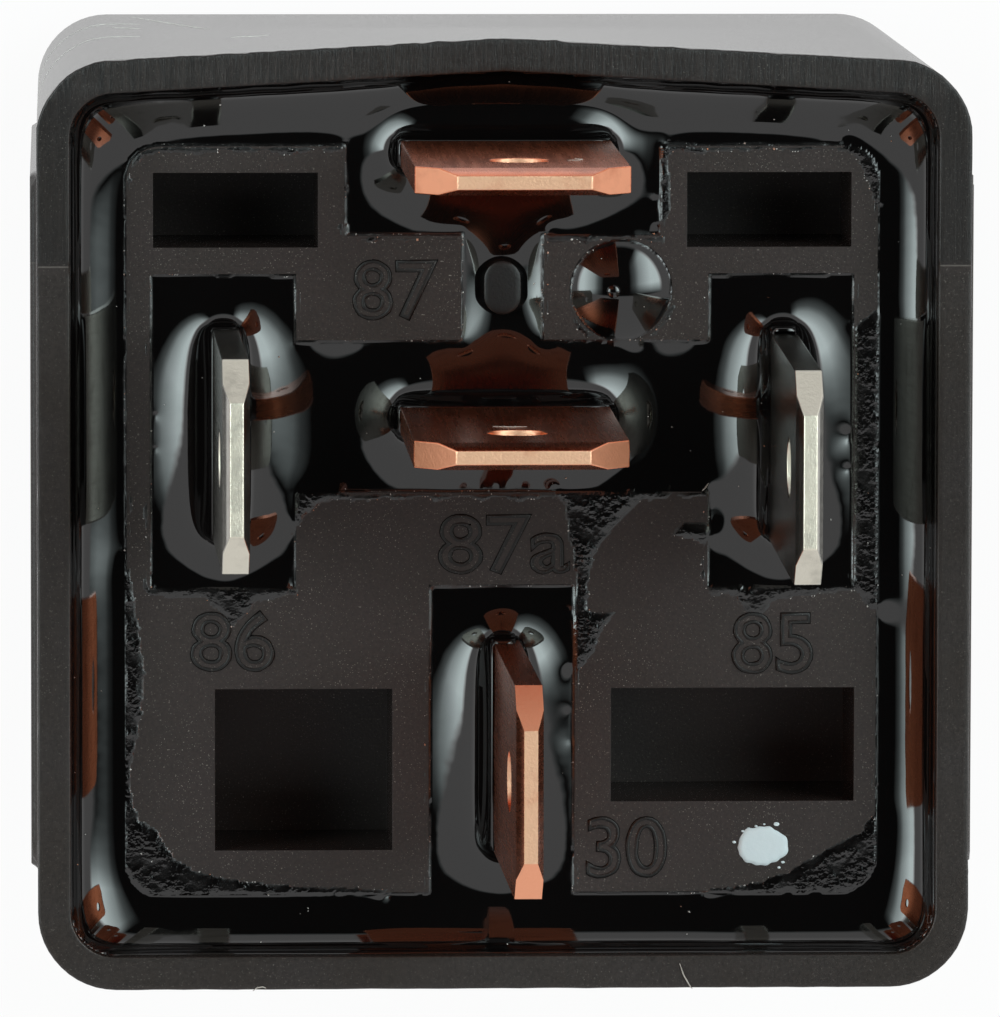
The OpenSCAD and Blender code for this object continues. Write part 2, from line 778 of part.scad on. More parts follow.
module armature() {
    half = yoke_w / 2;
    waist = half - ear_w - ear_gap;
    color("#9a9da1")
    opened()
    difference() {
        union() {
            span([-half, yoke_in_y + ear_gap, armature_z], [half, armature_end, hinge_z]);
            span([-waist, hinge_y, armature_z], [waist, yoke_in_y + ear_gap + sliver, hinge_z]);
            span([-tail_half, tail_end, armature_z], [tail_half, hinge_y + sliver, hinge_z]);
        }
        translate([0, spring_y, armature_z - overcut]) cylinder(r = hook_r, h = armature_t + 2 * overcut);
        for (at = rivet_at)
            translate([at[0], at[1], armature_z - overcut])
                cylinder(r = rivet_r + slip, h = armature_t + 2 * overcut);
    }
}

// The leaf is broad on the armature and narrows towards the contact
module contact_spring() {
    start = coil_y - leaf_back;
    neck = armature_end + leaf_taper;
    end = contact_y + contact_r + contact_lap;
    color("#c08a3e")
    opened()
    translate([0, 0, leaf_z])
        linear_extrude(leaf_t)
            difference() {
                polygon([[-leaf_w / 2, start], [leaf_w / 2, start], [leaf_w / 2, armature_end],
                         [leaf_end_w / 2, neck], [leaf_end_w / 2, end], [-leaf_end_w / 2, end],
                         [-leaf_end_w / 2, neck], [-leaf_w / 2, armature_end]]);
                for (at = rivet_at) translate(at) circle(r = rivet_r + slip);
                translate([0, contact_y]) circle(r = shank_r + slip);
            }
}

module spring_rivets() {
    color("#b9b4a6")
    opened()
    for (at = rivet_at)
        translate([at[0], at[1], leaf_z])
            rivet(rivet_r, leaf_t + armature_t, [rivet_head_r, rivet_h], [rivet_head_r, rivet_h]);
}

// Both heads of the moving contact are domed
module moving_contact() {
    tall = leaf_t + 2 * mover_h;
    color("#d8d6cf")
    opened()
    translate([0, contact_y, leaf_z - mover_h])
    difference() {
        intersection() {
            cylinder(r = contact_r, h = tall);
            translate([0, 0, mover_dome]) sphere(r = mover_dome, $fn = 96);
            translate([0, 0, tall - mover_dome]) sphere(r = mover_dome, $fn = 96);
        }
        translate([0, 0, mover_h])
            difference() {
                cylinder(r = contact_r + overcut, h = leaf_t);
                translate([0, 0, -overcut]) cylinder(r = shank_r, h = leaf_t + 2 * overcut);
            }
    }
}

module fixed_contact() {
    rivet(shank_r, blade_t, [contact_r, contact_h], [upset_r, upset_h]);
}

// The open contact, on terminal 87
module contact_no() {
    color("#d8d6cf")
    translate([0, contact_y, no_strip_z + blade_t]) rotate([180, 0, 0]) fixed_contact();
}

// The closed contact, on terminal 87a
module contact_nc() {
    color("#d8d6cf")
    translate([0, contact_y, nc_strip_z]) fixed_contact();
}

// ---------------------------------------------------------------- spring, braid and leads

// A helix with a straight hook at each end, bent over behind what it holds
module return_spring() {
    r = (spring_d - spring_wire) / 2;
    per_turn = 12;
    count = spring_turns * per_turn;
    low = hinge_z + hook_l;
    high = tab_z - hook_l;
    bottom = armature_z - hook_past;
    top = tab_z + blade_t + hook_past;
    helix = [for (i = [0 : count])
        let (a = 360 * i / per_turn, in = min(1, i / 6, (count - i) / 6))
        [r * in * cos(a), spring_y + r * in * sin(a), low + (high - low) * i / count]];
    hook = [[hook_bend, -0.15], [hook_bend / 2, -0.1], [0, 0.25]];
    hook_low = [for (h = hook) [h[0], spring_y, bottom + h[1]]];
    hook_high = [for (i = [2 : -1 : 0]) [hook[i][0], spring_y, top - hook[i][1]]];
    straight = [[0, spring_y, hinge_z + hook_l / 2], [0, spring_y, tab_z - hook_l / 2]];
    color("#b4b6b8")
    wire(concat(hook_low, [straight[0]], helix, [straight[1]], hook_high), spring_wire / 2, 6);
}

module braid() {
    color("#b8703f") wire(smooth(braid_route, 3), braid_d / 2, 8);
}

module coil_lead() {
    wire(smooth(lead_route, 3), lead_d / 2, 8);
}

module coil_lead_85() {
    color("#a8431f") coil_lead();
}

module coil_lead_86() {
    color("#a8431f") mirror([1, 0, 0]) coil_lead();
}

// ---------------------------------------------------------------- drawing

cover();
base();
potting();
terminal_30();
terminal_85();
terminal_86();
terminal_87();
terminal_87a();
yoke();
core();
bobbin();
coil();
armature();
contact_spring();
spring_rivets();
moving_contact();
contact_no();
contact_nc();
return_spring();
braid();
coil_lead_85();
coil_lead_86();
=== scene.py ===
"""Dresses a change-over relay in a square moulded can, sealed with black resin, and lights it.

The relay stands on the closed end of its can, blades up (+Z), contacts on the +Y side.
"""
import json
import logging
import math
from dataclasses import dataclass
from enum import Enum

import bmesh
import bpy
import numpy as np
from mathutils import Matrix, Vector

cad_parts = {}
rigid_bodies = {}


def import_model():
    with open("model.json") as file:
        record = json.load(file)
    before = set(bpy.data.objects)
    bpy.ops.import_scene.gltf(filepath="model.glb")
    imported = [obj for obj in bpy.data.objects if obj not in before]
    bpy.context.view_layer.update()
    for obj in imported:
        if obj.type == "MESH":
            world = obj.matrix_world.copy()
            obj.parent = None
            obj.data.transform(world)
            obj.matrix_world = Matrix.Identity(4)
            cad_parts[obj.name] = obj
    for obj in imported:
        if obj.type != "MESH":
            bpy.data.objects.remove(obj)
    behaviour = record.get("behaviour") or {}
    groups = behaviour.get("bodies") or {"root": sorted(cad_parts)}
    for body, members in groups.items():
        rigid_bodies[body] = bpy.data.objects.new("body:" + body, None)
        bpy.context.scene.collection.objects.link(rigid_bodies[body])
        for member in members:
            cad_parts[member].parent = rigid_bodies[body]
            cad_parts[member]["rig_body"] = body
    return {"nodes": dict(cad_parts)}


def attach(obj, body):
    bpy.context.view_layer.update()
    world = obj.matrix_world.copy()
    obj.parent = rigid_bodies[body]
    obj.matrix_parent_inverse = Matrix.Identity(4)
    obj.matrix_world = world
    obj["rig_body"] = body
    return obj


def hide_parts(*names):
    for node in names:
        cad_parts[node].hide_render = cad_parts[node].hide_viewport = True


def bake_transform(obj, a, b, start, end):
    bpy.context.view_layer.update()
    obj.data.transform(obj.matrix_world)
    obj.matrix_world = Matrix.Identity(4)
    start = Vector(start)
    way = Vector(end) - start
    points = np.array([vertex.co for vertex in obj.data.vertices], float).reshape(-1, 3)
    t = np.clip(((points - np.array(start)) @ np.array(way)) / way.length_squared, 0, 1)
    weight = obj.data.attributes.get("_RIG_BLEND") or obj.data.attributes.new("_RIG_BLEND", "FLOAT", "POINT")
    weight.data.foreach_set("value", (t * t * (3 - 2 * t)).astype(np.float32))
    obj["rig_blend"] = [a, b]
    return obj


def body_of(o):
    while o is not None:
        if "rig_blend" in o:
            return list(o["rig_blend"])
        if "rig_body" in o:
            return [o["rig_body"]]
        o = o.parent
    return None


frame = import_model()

MM = 0.001
HOUSING = "housing"
ARMATURE = "armature_unit"
FACE_Z = 23.8  # height of the dry face of the base, in millimetres
log = logging.getLogger("relay")
Colour = tuple[float, float, float, float]


def linear(level: float) -> float:
    """Returns the linear light of a display value from 0 to 255."""
    level /= 255
    return level / 12.92 if level <= 0.04045 else ((level + 0.055) / 1.055) ** 2.4


def rgb(red: float, green: float, blue: float) -> Colour:
    """Returns the linear colour of three display values from 0 to 255."""
    return linear(red), linear(green), linear(blue), 1.0


# ---------------------------------------------------------------- shader building

class Signal:
    """A value on its way through a shader. Its operators add Math nodes."""

    def __init__(self, bench: "Bench", socket: bpy.types.NodeSocket) -> None:
        """Wraps the output socket of a node that stands on the bench."""
        self.bench = bench
        self.socket = socket

    def math(self, operation: str, *others: "Signal | float", flipped: bool = False) -> "Signal":
        """Adds one Math node.

        Args:
            operation: The node's operation.
            others: Its other inputs.
            flipped: Puts the other input first.

        Returns:
            The result.
        """
        terms = [self, *others]
        if flipped:
            terms.reverse()
        return self.bench.node("ShaderNodeMath", {"operation": operation}, dict(enumerate(terms)))

    def __add__(self, other: "Signal | float") -> "Signal":
        """Adds."""
        return self.math("ADD", other)

    def __sub__(self, other: "Signal | float") -> "Signal":
        """Subtracts."""
        return self.math("SUBTRACT", other)

    def __rsub__(self, other: float) -> "Signal":
        """Subtracts this from a number."""
        return self.math("SUBTRACT", other, flipped=True)

    def __mul__(self, other: "Signal | float") -> "Signal":
        """Multiplies."""
        return self.math("MULTIPLY", other)

    def __truediv__(self, other: "Signal | float") -> "Signal":
        """Divides."""
        return self.math("DIVIDE", other)

    def __rtruediv__(self, other: float) -> "Signal":
        """Divides a number by this."""
        return self.math("DIVIDE", other, flipped=True)

    __radd__ = __add__
    __rmul__ = __mul__

    def step(self, low: float, high: float) -> "Signal":
        """Returns 0 below low and 1 above high, with an even slope between them."""
        return self.bench.node("ShaderNodeMapRange", {"clamp": True},
                               {"Value": self, "From Min": low, "From Max": high})


class Bench:
    """The node tree of a material or of the world, and the one way to add a node to it."""

    def __init__(self, tree: bpy.types.NodeTree) -> None:
        """Clears the tree."""
        self.tree = tree
        tree.nodes.clear()

    def node(self, kind: str, settings: dict | None = None,
             sockets: dict | None = None, out: int | str = 0) -> Signal | None:
        """Adds a node.

        Args:
            kind: The node's type.
            settings: Its properties, set first.
            sockets: Values or signals for its inputs, by name or place.
            out: The output that is wanted.

        Returns:
            That output, or None for a node that has none.
        """
        made = self.tree.nodes.new(kind)
        for name, value in (settings or {}).items():
            setattr(made, name, value)
        for name, value in (sockets or {}).items():
            if isinstance(value, Signal):
                self.tree.links.new(value.socket, made.inputs[name])
            else:
                made.inputs[name].default_value = value
        return Signal(self, made.outputs[out]) if made.outputs else None

    def place(self, stretch: tuple[float, float, float] = (1, 1, 1)) -> Signal:
        """Returns the point on the object in millimetres, stretched along each axis."""
        where = self.node("ShaderNodeTexCoord", out="Object")
        return self.node("ShaderNodeVectorMath", {"operation": "MULTIPLY"},
                         {0: where, 1: tuple(1000 * s for s in stretch)})

    def noise(self, scale: float, detail: float = 2, rough: float = 0.5,
              stretch: tuple[float, float, float] = (1, 1, 1)) -> Signal:
        """Returns fractal noise; scale is in features per millimetre."""
        return self.node("ShaderNodeTexNoise", None, {
            "Vector": self.place(stretch), "Scale": scale, "Detail": detail, "Roughness": rough})

    def blend(self, factor: Signal | float, first: Signal | Colour, second: Signal | Colour) -> Signal:
        """Returns the mix of two colours."""
        return self.node("ShaderNodeMix", {"data_type": "RGBA"}, {0: factor, 6: first, 7: second}, out=2)

    def height(self, signal: Signal, depth: float, after: Signal | None = None) -> Signal:
        """Adds a bump.

        Args:
            signal: The height of the surface, from 0 to 1.
            depth: What a height of 1 stands for, in millimetres.
            after: The normal of an earlier bump.

        Returns:
            The normal.
        """
        sockets = {"Height": signal, "Distance": depth * MM, "Strength": 1.0}
        if after is not None:
            sockets["Normal"] = after
        return self.node("ShaderNodeBump", None, sockets)

    def part(self, vector: Signal, axis: int) -> Signal:
        """Returns one part of a vector: 0 for X, 1 for Y and 2 for Z."""
        return self.node("ShaderNodeSeparateXYZ", None, {0: vector}, out=axis)

    def facing_up(self) -> Signal:
        """Returns the upward part of the surface's own normal."""
        return self.part(self.node("ShaderNodeNewGeometry", out="Normal"), 2)

    def ray(self, kind: str) -> Signal:
        """Returns 1 where the ray is of the given kind."""
        return self.node("ShaderNodeLightPath", out=kind)

    def surface(self, **sockets: "Signal | float | Colour") -> None:
        """Ends the tree in a Principled shader, with underscores for the spaces of its socket names."""
        shader = self.node("ShaderNodeBsdfPrincipled", None,
                           {name.replace("_", " "): value for name, value in sockets.items()})
        self.node("ShaderNodeOutputMaterial", None, {"Surface": shader})


@dataclass(frozen=True)
class Finish:
    """The look of one stuff. Each kind of finish draws its own shader."""

    name: str
    colour: Colour
    roughness: float = 0.4

    def draw(self, bench: Bench) -> None:
        """Draws the shader.

        Args:
            bench: The node tree that it is drawn in.
        """
        raise NotImplementedError

    def material(self) -> bpy.types.Material:
        """Makes the material once.

        Returns:
            The material.
        """
        name = "finish_" + self.name
        found = bpy.data.materials.get(name)
        if found is None:
            found = bpy.data.materials.new(name)
            found.use_nodes = True
            self.draw(Bench(found.node_tree))
        return found


@dataclass(frozen=True)
class MouldedPlastic(Finish):
    """Filled plastic: a fine grain, slow drifts of tint, drag lines on surfaces that face up, and on the can
    a painted highlight along the step in its rim.
    """

    tint: Colour = (0, 0, 0, 1)
    drag: float = 0.0
    grain: float = 0.008
    wall_roughness: float = 0.24
    dust: float = 1.0

    def draw(self, bench: Bench) -> None:
        """Draws the shader.

        Args:
            bench: The node tree that it is drawn in.
        """
        slow = bench.noise(0.35, 3, 0.6)
        fine = bench.noise(11, 3, 0.7)
        lines = bench.noise(7, 4, 0.7, (1, 0.05, 0.05))
        where = bench.part(bench.place(), 1)
        up = bench.facing_up().step(0.7, 0.95)
        skimmed = where.step(7.8, 7.84) * self.drag
        scored = up * (where.step(12.7, 13.0) * 0.6 + skimmed * 0.3 + 0.1) * self.drag
        body = bench.blend(slow.step(0.35, 0.68), self.colour, self.tint)
        # painted highlight: a thin pale line on the rim along its step near Y 7.8, standing for the light
        # that edge catches
        painted_step_highlight = (where.step(7.78, 7.81) - where.step(7.82, 7.85)) * self.drag
        shade = (fine.step(0.3, 0.7) * 0.7 + 0.65) * (1 + (lines - 0.5) * scored * 4.0) * (1 - skimmed * 0.5)
        dusty = bench.noise(0.3, 2, 0.5).step(0.45, 0.65) * 0.6 + 0.4
        large = bench.noise(9, 1, 0.4).step(0.75, 0.79)
        speck = large * 0.4 + bench.noise(21, 1, 0.5).step(0.68, 0.73) * dusty
        toned = bench.node("ShaderNodeVectorMath", {"operation": "SCALE"}, {0: body, "Scale": shade})
        bench.surface(
            # the pale blend mixes real dust specks with the painted highlight along the rim's step
            Base_Color=bench.blend((speck * (0.5 * self.dust) + painted_step_highlight * 0.25) * up, toned, rgb(176, 168, 160)),
            Roughness=fine * 0.2 + (self.wall_roughness - 0.1)
            + up * (self.roughness - self.wall_roughness),
            IOR=1.5,
            Normal=bench.height(fine + lines * scored * 5.0, self.grain))


@dataclass(frozen=True)
class CastResin(Finish):
    """Glossy black resin. Where it lies as a thin film its skin is grainy and dull in patches."""

    def draw(self, bench: Bench) -> None:
        """Draws the shader.

        Args:
            bench: The node tree that it is drawn in.
        """
        film = bench.node("ShaderNodeAttribute", {"attribute_name": "film"}, out="Fac")
        crust = bench.node("ShaderNodeAttribute", {"attribute_name": "crust"}, out="Fac")
        clots = bench.noise(1.6, 2, 0.5)
        grit = bench.noise(12, 2, 0.6)
        crumbs = bench.noise(6, 2, 0.5)
        dull = film * clots.step(0.42, 0.62)
        flakes = crust.step(0.5, 0.7) * grit.step(0.6, 0.72) * 0.5 + film * grit.step(0.70, 0.74) * 0.5
        ripple = bench.noise(0.8, 2, 0.5)
        toned = bench.blend(dull * 0.6, self.colour, rgb(26, 24, 24))
        bench.surface(
            Base_Color=bench.blend(flakes, toned, rgb(128, 122, 118)),
            Roughness=dull * 0.12 + film * 0.04 + crust * 0.36 + self.roughness,
            IOR=1.75,
            Normal=bench.height(crumbs * film * (1.4 - dull), 0.022, bench.height(ripple, 0.004)))


@dataclass(frozen=True)
class BladeMetal(Finish):
    """Rolled strip: drawn along its length, rougher and paler on the sheared face at its tip."""

    tip: Colour = (1, 1, 1, 1)
    stain: Colour = (0.2, 0.1, 0.05, 1)
    tip_roughness: float = 0.42

    def draw(self, bench: Bench) -> None:
        """Draws the shader.

        Args:
            bench: The node tree that it is drawn in.
        """
        up = bench.facing_up().step(0.6, 0.9)
        drawn = bench.noise(5, 4, 0.65, (1, 1, 0.05))
        blotch = bench.noise(0.9, 4, 0.6)
        pits = bench.noise(12, 2, 0.6)
        side = bench.blend(blotch.step(0.5, 0.75) * 0.5, self.colour, self.stain)
        face = bench.blend(blotch.step(0.55, 0.8) * 0.6, self.tip, self.colour)
        bench.surface(
            Base_Color=bench.blend(up, side, face), Metallic=1.0,
            Roughness=up * (self.tip_roughness - self.roughness) + drawn * 0.12 + (self.roughness - 0.06),
            Normal=bench.height(drawn * (1 - up) * 0.12 + pits * (up * 0.8 + 0.1), 0.02))


@dataclass(frozen=True)
class PlainMetal(Finish):
    """Metal of the parts inside: tumbled, with slow changes of tone."""

    dark: Colour = (0.2, 0.2, 0.2, 1)
    grain: float = 6.0

    def draw(self, bench: Bench) -> None:
        """Draws the shader.

        Args:
            bench: The node tree that it is drawn in.
        """
        slow = bench.noise(0.6, 3, 0.6)
        fine = bench.noise(self.grain, 3, 0.65)
        bench.surface(Base_Color=bench.blend(slow.step(0.4, 0.7), self.colour, self.dark), Metallic=1.0,
                      Roughness=fine * 0.25 + (self.roughness - 0.1), Normal=bench.height(fine, 0.01))


@dataclass(frozen=True)
class Enamelled(Finish):
    """Fine enamelled wire laid in turns about an upright axis."""

    dark: Colour = (0.1, 0.02, 0.01, 1)

    def draw(self, bench: Bench) -> None:
        """Draws the shader.

        Args:
            bench: The node tree that it is drawn in.
        """
        turns = bench.node("ShaderNodeTexWave", {"wave_type": "BANDS", "bands_direction": "Z"},
                           {"Vector": bench.place(), "Scale": 1.6, "Distortion": 0.4, "Detail": 1.0})
        bench.surface(Base_Color=bench.blend(turns, self.dark, self.colour),
                      Roughness=turns * 0.1 + self.roughness, Coat_Weight=0.6,
                      Normal=bench.height(turns, 0.04))


@dataclass(frozen=True)
class Matter(Finish):
    """Paint, dust and fibres: each scrap has its own tone."""

    second: Colour = (1, 1, 1, 1)

    def draw(self, bench: Bench) -> None:
        """Draws the shader.

        Args:
            bench: The node tree that it is drawn in.
        """
        scrap = bench.node("ShaderNodeNewGeometry", out="Random Per Island")
        fine = bench.noise(5, 3, 0.6)
        bench.surface(Base_Color=bench.blend(scrap.step(0.7, 0.95), self.colour, self.second),
                      Roughness=fine * 0.2 + self.roughness, Normal=bench.height(fine, 0.01))


class Stuff(Enum):
    """The finishes of this relay."""

    CAN = MouldedPlastic("can_plastic", rgb(42, 36, 34), 0.42, rgb(39, 32, 28), 1.0, dust=0.4)
    BASE = MouldedPlastic("base_plastic", rgb(48, 39, 37), 0.5, rgb(44, 36, 33), 0.0)
    # painted shadow: near-black tubes at the foot of the raised numbers stand for the shade in that crease
    PAINTED_LETTER_SHADOW = MouldedPlastic("letter_shadow", rgb(11, 9, 8), 0.6, rgb(16, 13, 12), 0.0)
    RESIN = CastResin("sealing_resin", rgb(9, 7, 7), 0.035)
    SKIN = MouldedPlastic("post_skin", rgb(20, 19, 19), 0.45, rgb(17, 16, 16), 0.0, dust=0.0)
    COPPER = BladeMetal("blade_copper", rgb(214, 124, 88), 0.27, rgb(255, 205, 170), rgb(140, 70, 44), 0.52)
    TIN = BladeMetal("blade_tin", rgb(168, 165, 156), 0.22, rgb(255, 248, 230), rgb(110, 106, 98), 0.46)
    IRON = PlainMetal("soft_iron", rgb(176, 178, 182), 0.35, rgb(128, 128, 130))
    SILVER = PlainMetal("contact_silver", rgb(222, 222, 220), 0.25, rgb(190, 188, 182))
    BRONZE = PlainMetal("spring_bronze", rgb(206, 160, 104), 0.28, rgb(170, 120, 72))
    STEEL = PlainMetal("spring_steel", rgb(190, 192, 196), 0.25, rgb(150, 150, 152), 12.0)
    BRAID = PlainMetal("braid_copper", rgb(214, 138, 98), 0.4, rgb(160, 84, 54), 16.0)
    WINDING = Enamelled("winding", rgb(168, 66, 30), 0.22, rgb(70, 18, 8))
    BOBBIN = MouldedPlastic("bobbin_plastic", rgb(214, 206, 186), 0.45, rgb(200, 190, 168), 0.0)
    PAINT = Matter("paint_dot", rgb(222, 234, 238), 0.5, rgb(214, 228, 234))
    DUST = Matter("dust", rgb(205, 200, 196), 0.6, rgb(206, 138, 104))
    FIBRE = Matter("fibre", rgb(176, 168, 160), 0.6, rgb(190, 184, 178))
    SCRAPE = Matter("scrape", rgb(232, 229, 222), 0.5, rgb(206, 203, 196))


# ---------------------------------------------------------------- mesh building

def put_up(mesh: bpy.types.Mesh, stuff: Stuff) -> bpy.types.Object:
    """Gives a mesh its finish and puts it in the scene.

    Args:
        mesh: The mesh, whose name the object takes.
        stuff: Its finish.

    Returns:
        The object, which rides on no body yet.
    """
    mesh.materials.clear()
    mesh.materials.append(stuff.value.material())
    mesh.shade_smooth()
    piece = bpy.data.objects.new(mesh.name, mesh)
    bpy.context.scene.collection.objects.link(piece)
    return piece


def add_piece(name: str, points: np.ndarray, faces: list, stuff: Stuff,
              body: str = HOUSING) -> bpy.types.Object:
    """Makes a mesh piece that rides on a body.

    Args:
        name: The piece's name.
        points: Its vertices in millimetres.
        faces: Its faces, as lists of vertex numbers.
        stuff: Its finish.
        body: The body that it rides on.

    Returns:
        The object.
    """
    mesh = bpy.data.meshes.new(name)
    mesh.from_pydata((np.asarray(points, float) * MM).tolist(), [], faces)
    piece = put_up(mesh, stuff)
    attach(piece, body)
    log.info("%s: %d faces", name, len(mesh.polygons))
    return piece


def machined_copy(node: str, stuff: Stuff, edge: float, lean: tuple[float, float] = (0, 0),
                  hinge_z: float = 0.0) -> bpy.types.Object:
    """Copies a CAD node, breaks its sharp edges, and lets the part above a height lean.

    Args:
        node: The CAD node that the copy stands for.
        stuff: Its finish.
        edge: Width of the broken edges in millimetres.
        lean: Sideways run along X and Y for each millimetre of height.
        hinge_z: Height in millimetres at which the lean begins.

    Returns:
        The copy.
    """
    source = frame["nodes"][node]
    mesh = source.data.copy()
    mesh.name = node + "_dressed"
    form = bmesh.new()
    form.from_mesh(mesh)
    bmesh.ops.remove_doubles(form, verts=form.verts, dist=1e-6)
    bmesh.ops.dissolve_limit(form, angle_limit=math.radians(1), verts=form.verts, edges=form.edges)
    sharp = [e for e in form.edges if e.is_manifold and e.calc_face_angle(0) > math.radians(35)]
    bmesh.ops.bevel(form, geom=sharp, offset=edge * MM, segments=2, profile=0.6,
                    affect="EDGES", clamp_overlap=True)
    for vert in form.verts:
        above = max(0.0, vert.co.z - hinge_z * MM)
        vert.co.x += lean[0] * above
        vert.co.y += lean[1] * above
    form.to_mesh(mesh)
    form.free()
    piece = put_up(mesh, stuff)
    piece.modifiers.new("even_faces", "WEIGHTED_NORMAL")
    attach(piece, body_of(source)[0])
    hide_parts(node)
    log.info("%s stands for %s", piece.name, node)
    return piece


def tube_faces(rows: int, sides: int) -> list[list[int]]:
    """Joins rings of points that follow one another.

    Args:
        rows: The number of rows of faces, one less than that of the rings.
        sides: The number of points in a ring.

    Returns:
        The faces.
    """
    faces = []
    for low in range(0, rows * sides, sides):
        for k in range(sides):
            after = (k + 1) % sides
            faces.append([low + k, low + after, low + sides + after, low + sides + k])
    return faces


def round_box(x: np.ndarray, y: np.ndarray, centre: tuple[float, float], half: tuple[float, float],
              radius: float) -> np.ndarray:
    """Measures from a rounded box.

    Args:
        x: The X of each point.
        y: Its Y.
        centre: The middle of the box.
        half: Its half sizes.
        radius: The radius of its corners.

    Returns:
        The distance of each point from the box, less than zero inside it.
    """
    out_x = np.abs(x - centre[0]) - half[0] + radius
    out_y = np.abs(y - centre[1]) - half[1] + radius
    outside = np.hypot(np.maximum(out_x, 0), np.maximum(out_y, 0))
    return outside + np.minimum(np.maximum(out_x, out_y), 0) - radius


def inside_shape(x: np.ndarray, y: np.ndarray, corners: tuple) -> np.ndarray:
    """Measures from a closed shape of straight lines.

    Args:
        x: The X of each point.
        y: Its Y.
        corners: The corners of the shape.

    Returns:
        How far each point is inside the shape, less than zero outside it.
    """
    gap = np.full_like(x, 1e3)
    odd = np.zeros(x.shape, bool)
    for (x0, y0), (x1, y1) in zip(corners, corners[1:] + corners[:1]):
        dx, dy = x1 - x0, y1 - y0
        t = np.clip(((x - x0) * dx + (y - y0) * dy) / (dx * dx + dy * dy), 0, 1)
        gap = np.minimum(gap, np.hypot(x - x0 - t * dx, y - y0 - t * dy))
        if dy:
            odd ^= ((y0 > y) != (y1 > y)) & (x < (y - y0) * dx / dy + x0)
    return np.where(odd, gap, -gap)


def ripples(x: np.ndarray, y: np.ndarray, pitch: float, seed: int) -> np.ndarray:
    """Makes smooth noise that is the same on each run.

    Args:
        x: The X of each point.
        y: Its Y.
        pitch: The size of its largest waves in millimetres.
        seed: The number that its waves are drawn from.

    Returns:
        The noise at each point, from about -1 to 1.
    """
    tile, shift, fade = 64, 50, 1.6
    draw = np.random.default_rng(seed)
    total = np.zeros_like(x, float)
    for octave in range(3):
        size = pitch / 2 ** octave
        table = draw.uniform(-1, 1, (tile, tile))
        u, v = (x + shift) / size, (y + shift) / size
        i, j = np.floor(u).astype(int), np.floor(v).astype(int)
        s, t = u - i, v - j
        s, t = s * s * (3 - 2 * s), t * t * (3 - 2 * t)
        i0, i1, j0, j1 = i % tile, (i + 1) % tile, j % tile, (j + 1) % tile
        total += ((table[i0, j0] * (1 - s) + table[i1, j0] * s) * (1 - t)
                  + (table[i0, j1] * (1 - s) + table[i1, j1] * s) * t) / fade ** octave
    return total / fade


# ---------------------------------------------------------------- the can

